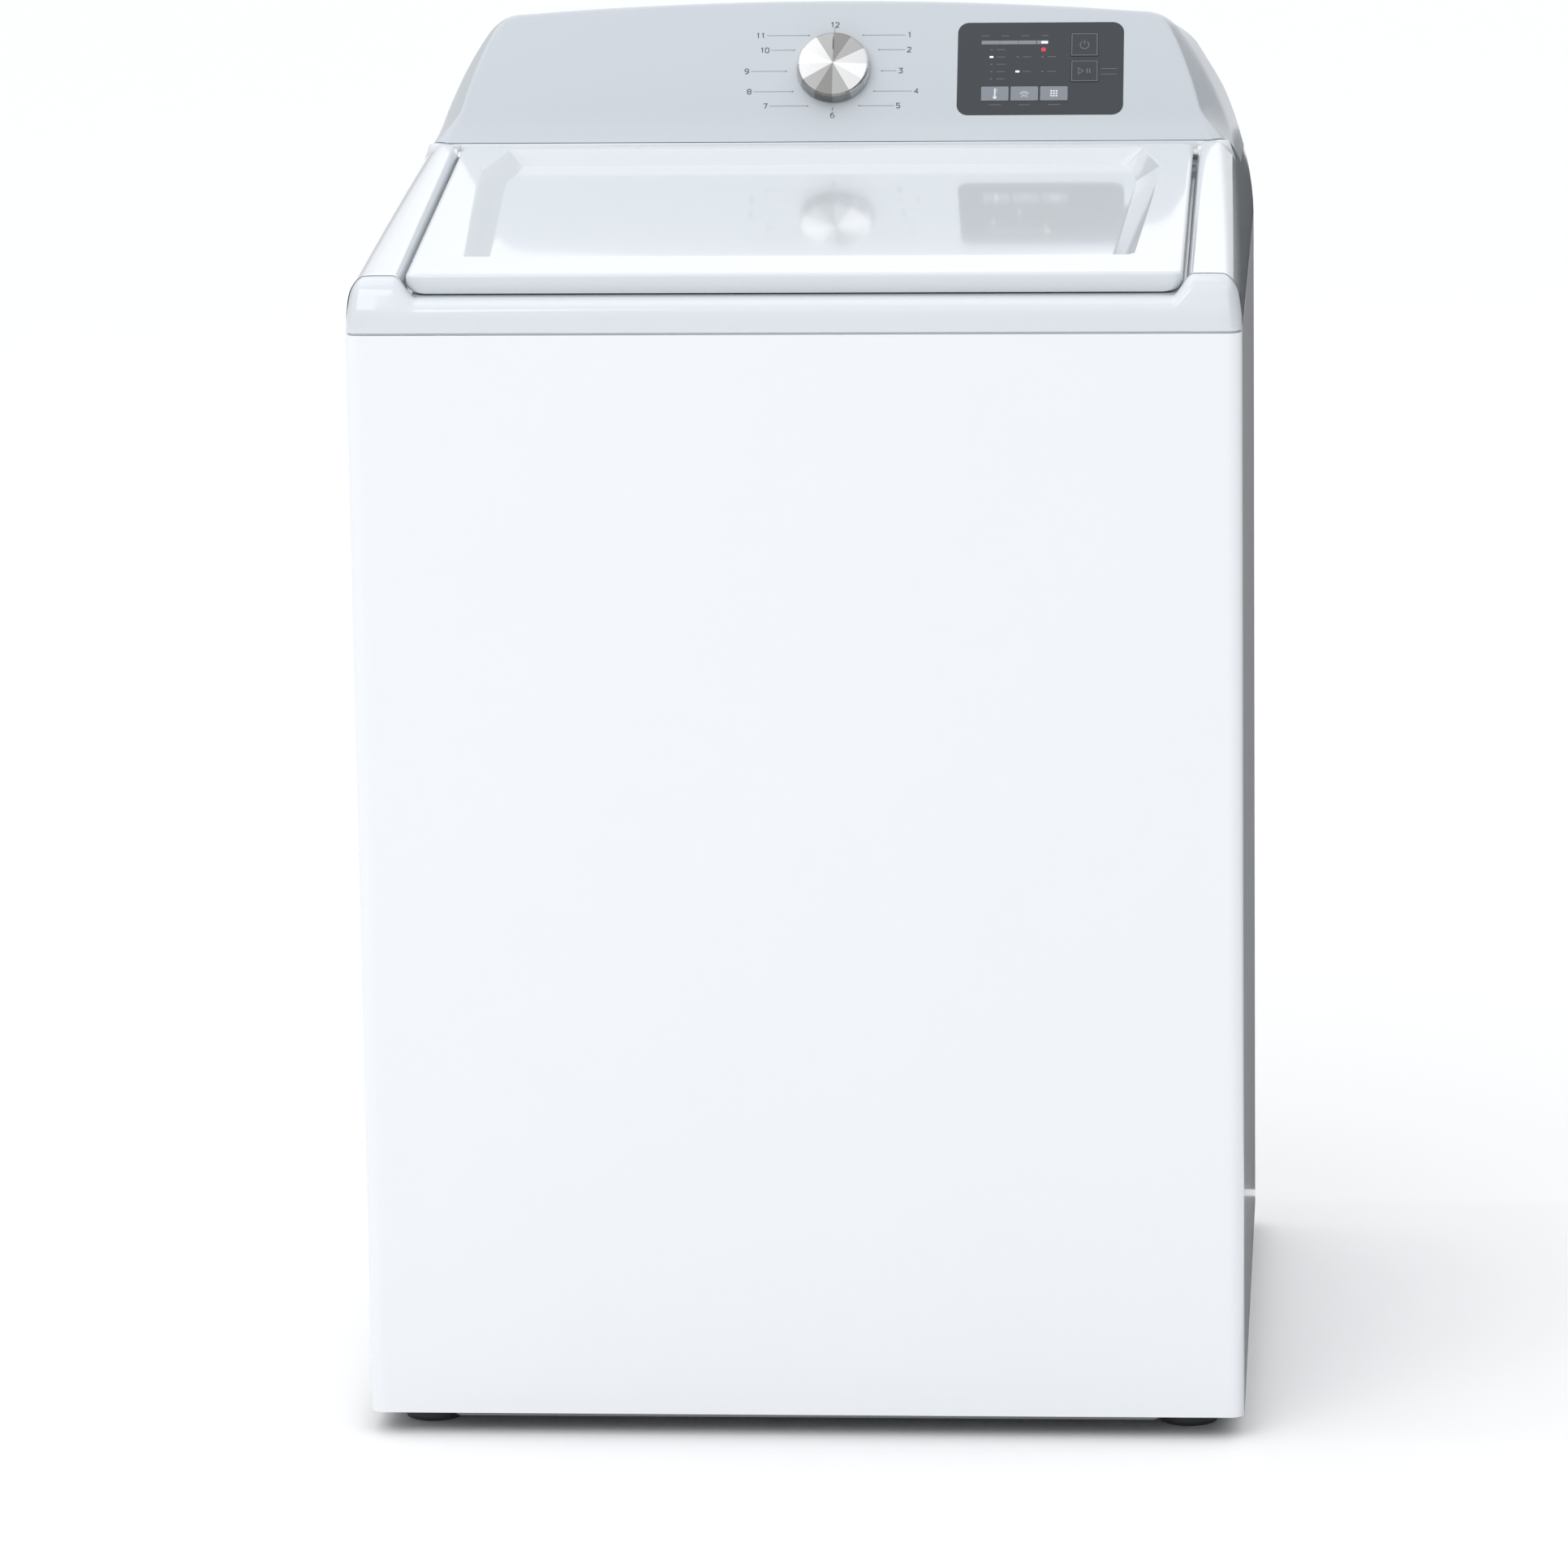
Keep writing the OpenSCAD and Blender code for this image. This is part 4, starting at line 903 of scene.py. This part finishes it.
class Print:
    """Flat marks in the control face's frame, gathered into one mesh."""

    def __init__(self):
        self.points = []
        self.faces = []

    def patch(self, corners):
        start = len(self.points)
        self.points += [tuple(p) for p in corners]
        self.faces.append(tuple(range(start, len(self.points))))

    def box(self, u, v, w, h):
        left = u - w / 2
        right = u + w / 2
        self.patch([(left, v - h / 2), (right, v - h / 2), (right, v + h / 2), (left, v + h / 2)])

    def disc(self, u, v, r, n=12):
        turns = [math.radians(360) * k / n for k in range(n)]
        self.patch([(u + r * math.cos(a), v + r * math.sin(a)) for a in turns])

    def line(self, path, width=0.0004):
        """Ribbon along a path, mitred at its corners."""
        path = [Vector(p) for p in path]
        closed = (path[0] - path[-1]).length < 1e-9
        start = len(self.points)
        last = len(path) - 1
        for i, here in enumerate(path):
            ways = []
            if i > 0 or closed:
                ways.append((here - path[i - 1 if i else last - 1]).normalized())
            if i < last or closed:
                ways.append((path[i + 1 if i < last else 1] - here).normalized())
            along = sum(ways, Vector((0, 0))).normalized()
            reach = width / 2 / max(0.4, along.dot(ways[0]))
            across = Vector((-along.y, along.x)) * reach
            self.points += [tuple(here + across), tuple(here - across)]
        for i in range(last):
            a = start + 2 * i
            self.faces.append((a, a + 1, a + 3, a + 2))

    def outline(self, left, right, low, high, width):
        """Ribbon round a box."""
        self.line([(left, low), (right, low), (right, high), (left, high), (left, low)], width)

    def number(self, value, u, v, align):
        """A number, with its middle at v and its left, middle or right at u."""
        unit = DIGIT / 6
        text = str(value)
        length = (len(text) * ADVANCE - GAP) * unit
        u -= {"left": 0, "middle": length / 2, "right": length}[align]
        for figure in text:
            for path in FONT[figure]:
                self.line([(u + x * unit, v + (y - 3) * unit) for x, y in path], STROKE)
            u += ADVANCE * unit

    def show(self, name, slot, body, lift, material=None):
        points = [on_face(u, v, lift) for u, v in self.points]
        skin(name, points, self.faces, slot, body, material=material)


def arc(u, v, r, start, end, n=12):
    turns = [math.radians(lerp(start, end, k / n)) for k in range(n + 1)]
    return [(u + r * math.cos(a), v + r * math.sin(a)) for a in turns]


def make_face_print():
    """Leader lines from the knob to twelve numbered programmes."""
    marks = Print()
    leaders = Print()
    rows = [0.0981, 0.0844, 0.0648, 0.0459, 0.0324]
    left = [(0.0534, 0.0182), (0.0496, 0.0304), (0.0660, 0.0366), (0.0634, 0.0307), (0.0496, 0.0179)]
    right = [(0.0268, 0.0620), (0.0404, 0.0620), (0.0430, 0.0553), (0.0370, 0.0688), (0.0248, 0.0539)]
    for k, (v, (far, near)) in enumerate(zip(rows, left)):
        leaders.line([(-far, v), (-near, v)])
        leaders.disc(-near, v, DOT)
        marks.number(11 - k, -far - 0.002, v, "right")
    for k, (v, (near, far)) in enumerate(zip(rows, right)):
        leaders.line([(near, v), (far, v)])
        leaders.disc(near, v, DOT)
        marks.number(1 + k, far + 0.002, v, "left")
    u = KNOB[0]
    leaders.line([(u, 0.1010), (u, 0.1045)])
    marks.number(12, u, 0.1078, "middle")
    leaders.line([(u, 0.0300), (u, 0.0272)])
    leaders.disc(u, 0.0300, DOT)
    marks.number(6, u, 0.0236, "middle")
    marks.show("face_print", "grey_plastic", "cabinet", PRINT_W)
    grey = finish("leader_grey", (0.25, 0.26, 0.28), 0.5)
    leaders.show("face_leaders", "grey_plastic", "cabinet", PRINT_W, grey)


make_face_print()

# ---- panel lights and key symbols ----

PANEL_W = 0.00032
KEY_W = 0.00072


def glow(name, colour, strength):
    made, tree, shader = principled(name, 0.4)
    cloud = noise(tree, 400)
    dim = tuple(0.85 * c for c in colour)
    tree.links.new(blend_colours(tree, cloud, dim, colour), shader.inputs["Base Color"])
    tree.links.new(blend_colours(tree, cloud, dim, colour), shader.inputs["Emission Color"])
    shader.inputs["Emission Strength"].default_value = strength
    return made


def make_panel_print():
    bar = Print()
    for k in range(3):
        bar.box(0.1258 + 0.0152 * k + 0.0075, 0.0904, 0.0150, 0.0034)
    bar.box(0.1765, 0.0904, 0.0094, 0.0034)
    bar.show("panel_bar", "key_grey", "cabinet", PANEL_W)
    lit = Print()
    lit.box(0.1782, 0.0904, 0.0052, 0.0020)
    lit.box(0.1342, 0.0769, 0.0030, 0.0017)
    lit.box(0.1560, 0.0633, 0.0032, 0.0017)
    white = glow("light_white", (0.95, 0.97, 1.0), 0.5)
    lit.show("panel_lit", "white_plastic", "cabinet", PANEL_W + 0.0001, white)
    red = Print()
    red.disc(0.1773, 0.0837, 0.0021)
    red.show("panel_red", "white_plastic", "cabinet", PANEL_W, glow("light_red", (0.62, 0.03, 0.06), 0.25))
    dim = Print()
    dark_rows = [(0.0837, 0), (0.0769, 1), (0.0769, 2), (0.0701, 0), (0.0633, 0), (0.0633, 2), (0.0565, 0)]
    columns = [0.1342, 0.1560, 0.1765]
    for v, k in dark_rows:
        dim.box(columns[k], v, 0.0016, 0.0010)
    for v, k in dark_rows + [(0.0769, 0), (0.0633, 1)]:
        dim.box(columns[k] + 0.0078, v, 0.0070, 0.0006)
    for k in range(4):
        dim.box(0.1290 + 0.0165 * k, 0.0966, 0.0060, 0.0006)
    for u in (0.1375, 0.1620, 0.1865):
        dim.box(u, 0.0325, 0.0100, 0.0006)
    for v in (0.0655, 0.0605):
        dim.box(0.2318, v, 0.0130, 0.0006)
    dim.show("panel_dim", "grey_frame", "cabinet", PANEL_W, finish("panel_dim", (0.13, 0.14, 0.15), 0.4))


def make_springs():
    """Springs that stand on the rods' discs, copied from the CAD mesh with its place baked in."""
    data = frame["nodes"]["suspension_springs"].data.copy()
    springs = bpy.data.objects.new("spring_coils", data)
    bpy.context.scene.collection.objects.link(springs)
    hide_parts("suspension_springs")
    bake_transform(springs)


def make_key_print():
    grey = finish("key_outline", (0.17, 0.18, 0.19), 0.4)
    power = Print()
    power.outline(0.2009, 0.2219, 0.0781, 0.0979, 0.0005)
    power.line(arc(0.2114, 0.0876, 0.0036, 125, 415, 20), 0.0006)
    power.line([(0.2114, 0.0884), (0.2114, 0.0922)], 0.0006)
    power.show("power_symbol", "key_grey", "key_power", KEY_W, grey)
    start = Print()
    start.outline(0.2011, 0.2221, 0.0542, 0.0726, 0.0005)
    start.line([(0.2066, 0.0607), (0.2066, 0.0661), (0.2106, 0.0634), (0.2066, 0.0607)], 0.0005)
    start.line([(0.2138, 0.0612), (0.2138, 0.0656)], 0.0007)
    start.line([(0.2160, 0.0612), (0.2160, 0.0656)], 0.0007)
    start.show("start_symbol", "key_grey", "key_start", KEY_W, grey)
    heat = Print()
    heat.line([(0.1375, 0.0398), (0.1375, 0.0474)], 0.0013)
    heat.disc(0.1375, 0.0393, 0.0016)
    for k in range(3):
        heat.box(0.1390, 0.0442 + 0.0013 * k, 0.0010, 0.0004)
    heat.show("heat_symbol", "white_plastic", "key_left", KEY_W)
    spray = Print()
    spray.line(arc(0.1620, 0.0408, 0.0038, 20, 160), 0.0005)
    spray.line(arc(0.1620, 0.0408, 0.0022, 30, 150), 0.0005)
    for k in (-1, 0, 1):
        spray.line([(0.1620 + 0.0010 * k, 0.0412), (0.1620 + 0.0026 * k, 0.0394)], 0.0005)
    spray.show("spray_symbol", "white_plastic", "key_middle", KEY_W)
    squares = Print()
    for i in range(3):
        for j in range(3):
            squares.box(0.1843 + 0.0022 * i, 0.0406 + 0.0022 * j, 0.0015, 0.0015)
    squares.show("squares_symbol", "white_plastic", "key_right", KEY_W)


make_panel_print()
make_key_print()
make_springs()

# ---- stage, light and camera ----


def area(name, where, towards, size, power):
    """Soft rectangular light at one point, facing another."""
    data = bpy.data.lights.new(name, "AREA")
    data.shape = "RECTANGLE"
    data.size = size[0]
    data.size_y = size[1]
    data.energy = power
    lamp = bpy.data.objects.new(name, data)
    lamp.location = where
    lamp.rotation_euler = (Vector(towards) - Vector(where)).to_track_quat("-Z", "Y").to_euler()
    bpy.context.scene.collection.objects.link(lamp)


def make_floor():
    data = bpy.data.meshes.new("floor")
    reach = 40
    corners = [(-reach, -reach, 0), (reach, -reach, 0), (reach, reach, 0), (-reach, reach, 0)]
    data.from_pydata(corners, [], [(0, 1, 2, 3)])
    floor = bpy.data.objects.new("floor", data)
    bpy.context.scene.collection.objects.link(floor)
    data.materials.append(finish("floor_pale", (0.95, 0.95, 0.95), 0.8, vary=0.002, grain=40))


# brightness by the direction's sideways part, a least value for that part high up, and by height
SKY_STRENGTH = 1.45
SKY_ACROSS = ((-1, 0.42), (-0.25, 0.62), (-0.05, 1), (0.12, 1), (0.5, 0.03), (1, 0.02))
SKY_ABOVE = ((-1, 0), (0.3, 0), (0.7, 1), (1, 1))
SKY_HEIGHT = ((-1, 0.6), (0.05, 0.6), (0.45, 0.95), (0.8, 1), (0.93, 0.7), (1, 0.65))


def sky_ramp(tree, value, stops):
    """Brightness over one component of the direction, from -1 to 1."""
    node = tree.nodes.new("ShaderNodeMapRange")
    node.inputs["From Min"].default_value = -1
    node.inputs["From Max"].default_value = 1
    colours = tree.nodes.new("ShaderNodeValToRGB")
    colours.color_ramp.interpolation = "EASE"
    for i, (place, level) in enumerate(stops):
        bands = colours.color_ramp.elements
        band = bands[i] if i < 2 else bands.new(1)
        band.position = (place + 1) / 2
        band.color = (level, level, level, 1)
    tree.links.new(value, node.inputs["Value"])
    tree.links.new(node.outputs["Result"], colours.inputs["Fac"])
    return colours.outputs["Color"]


def make_world():
    world = bpy.data.worlds.new("studio")
    world.use_nodes = True
    tree = world.node_tree
    background = tree.nodes["Background"]
    background.inputs["Strength"].default_value = SKY_STRENGTH
    coords = tree.nodes.new("ShaderNodeTexCoord")
    parts = tree.nodes.new("ShaderNodeSeparateXYZ")
    tree.links.new(coords.outputs["Generated"], parts.inputs["Vector"])
    across = sky_ramp(tree, parts.outputs["X"], SKY_ACROSS)
    height = sky_ramp(tree, parts.outputs["Z"], SKY_HEIGHT)
    above = sky_ramp(tree, parts.outputs["Z"], SKY_ABOVE)
    sides = tree.nodes.new("ShaderNodeMath")
    sides.operation = "MAXIMUM"
    tree.links.new(across, sides.inputs[0])
    tree.links.new(above, sides.inputs[1])
    both = tree.nodes.new("ShaderNodeMath")
    both.operation = "MULTIPLY"
    tree.links.new(sides.outputs["Value"], both.inputs[0])
    tree.links.new(height, both.inputs[1])
    mixed = blend_colours(tree, both.outputs["Value"], (0, 0, 0), (0.99, 1.0, 1.02))
    tree.links.new(mixed, background.inputs["Color"])
    bpy.context.scene.world = world


def make_cards():
    """Dark cards behind and beside the right side, which only reflections see."""
    back = REAR + 0.075
    upright = [(HALF, back, 0.01), (2.6, back, 0.01), (2.6, back, 0.96), (HALF, back, 0.96)]
    lying = [(HALF, FRONT, 0.004), (0.62, FRONT, 0.004), (0.62, back, 0.004), (HALF, back, 0.004)]
    data = bpy.data.meshes.new("cards")
    data.from_pydata(upright + lying, [], [(0, 1, 2, 3), (4, 5, 6, 7)])
    cards = bpy.data.objects.new("cards", data)
    cards.visible_camera = False
    cards.visible_diffuse = False
    cards.visible_shadow = False
    bpy.context.scene.collection.objects.link(cards)
    data.materials.append(finish("card_dark", (0.03, 0.03, 0.03), 0.9, grain=40))


def make_camera():
    """Long lens in front and slightly to the right, looking down a little."""
    where = (0.4406, -6.554, 1.8352)
    yaw = math.radians(4.155)
    pitch = math.radians(11.822)
    roll = math.radians(-0.789)
    ahead = Vector((-math.sin(yaw) * math.cos(pitch), math.cos(yaw) * math.cos(pitch), -math.sin(pitch)))
    level = Vector((math.cos(yaw), math.sin(yaw), 0))
    above = level.cross(ahead)
    right = level * math.cos(roll) + above * math.sin(roll)
    up = above * math.cos(roll) - level * math.sin(roll)
    data = bpy.data.cameras.new("camera")
    data.sensor_width = 36
    data.lens = 186.12
    data.clip_start = 0.1
    data.clip_end = 100
    camera = bpy.data.objects.new("camera", data)
    turn = Matrix((right, up, -ahead)).transposed().to_4x4()
    camera.matrix_world = Matrix.Translation(where) @ turn
    bpy.context.scene.collection.objects.link(camera)
    bpy.context.scene.camera = camera


bpy.context.scene.view_settings.view_transform = "Standard"
make_floor()
make_cards()
make_world()
make_camera()
area("key_front", (-1.8, -3.5, 3.2), (0, 0, 0.6), (2.5, 2.0), 34)
area("fill_top", (-0.6, -0.2, 3.6), (0, 0, 0.9), (2.0, 2.0), 9)
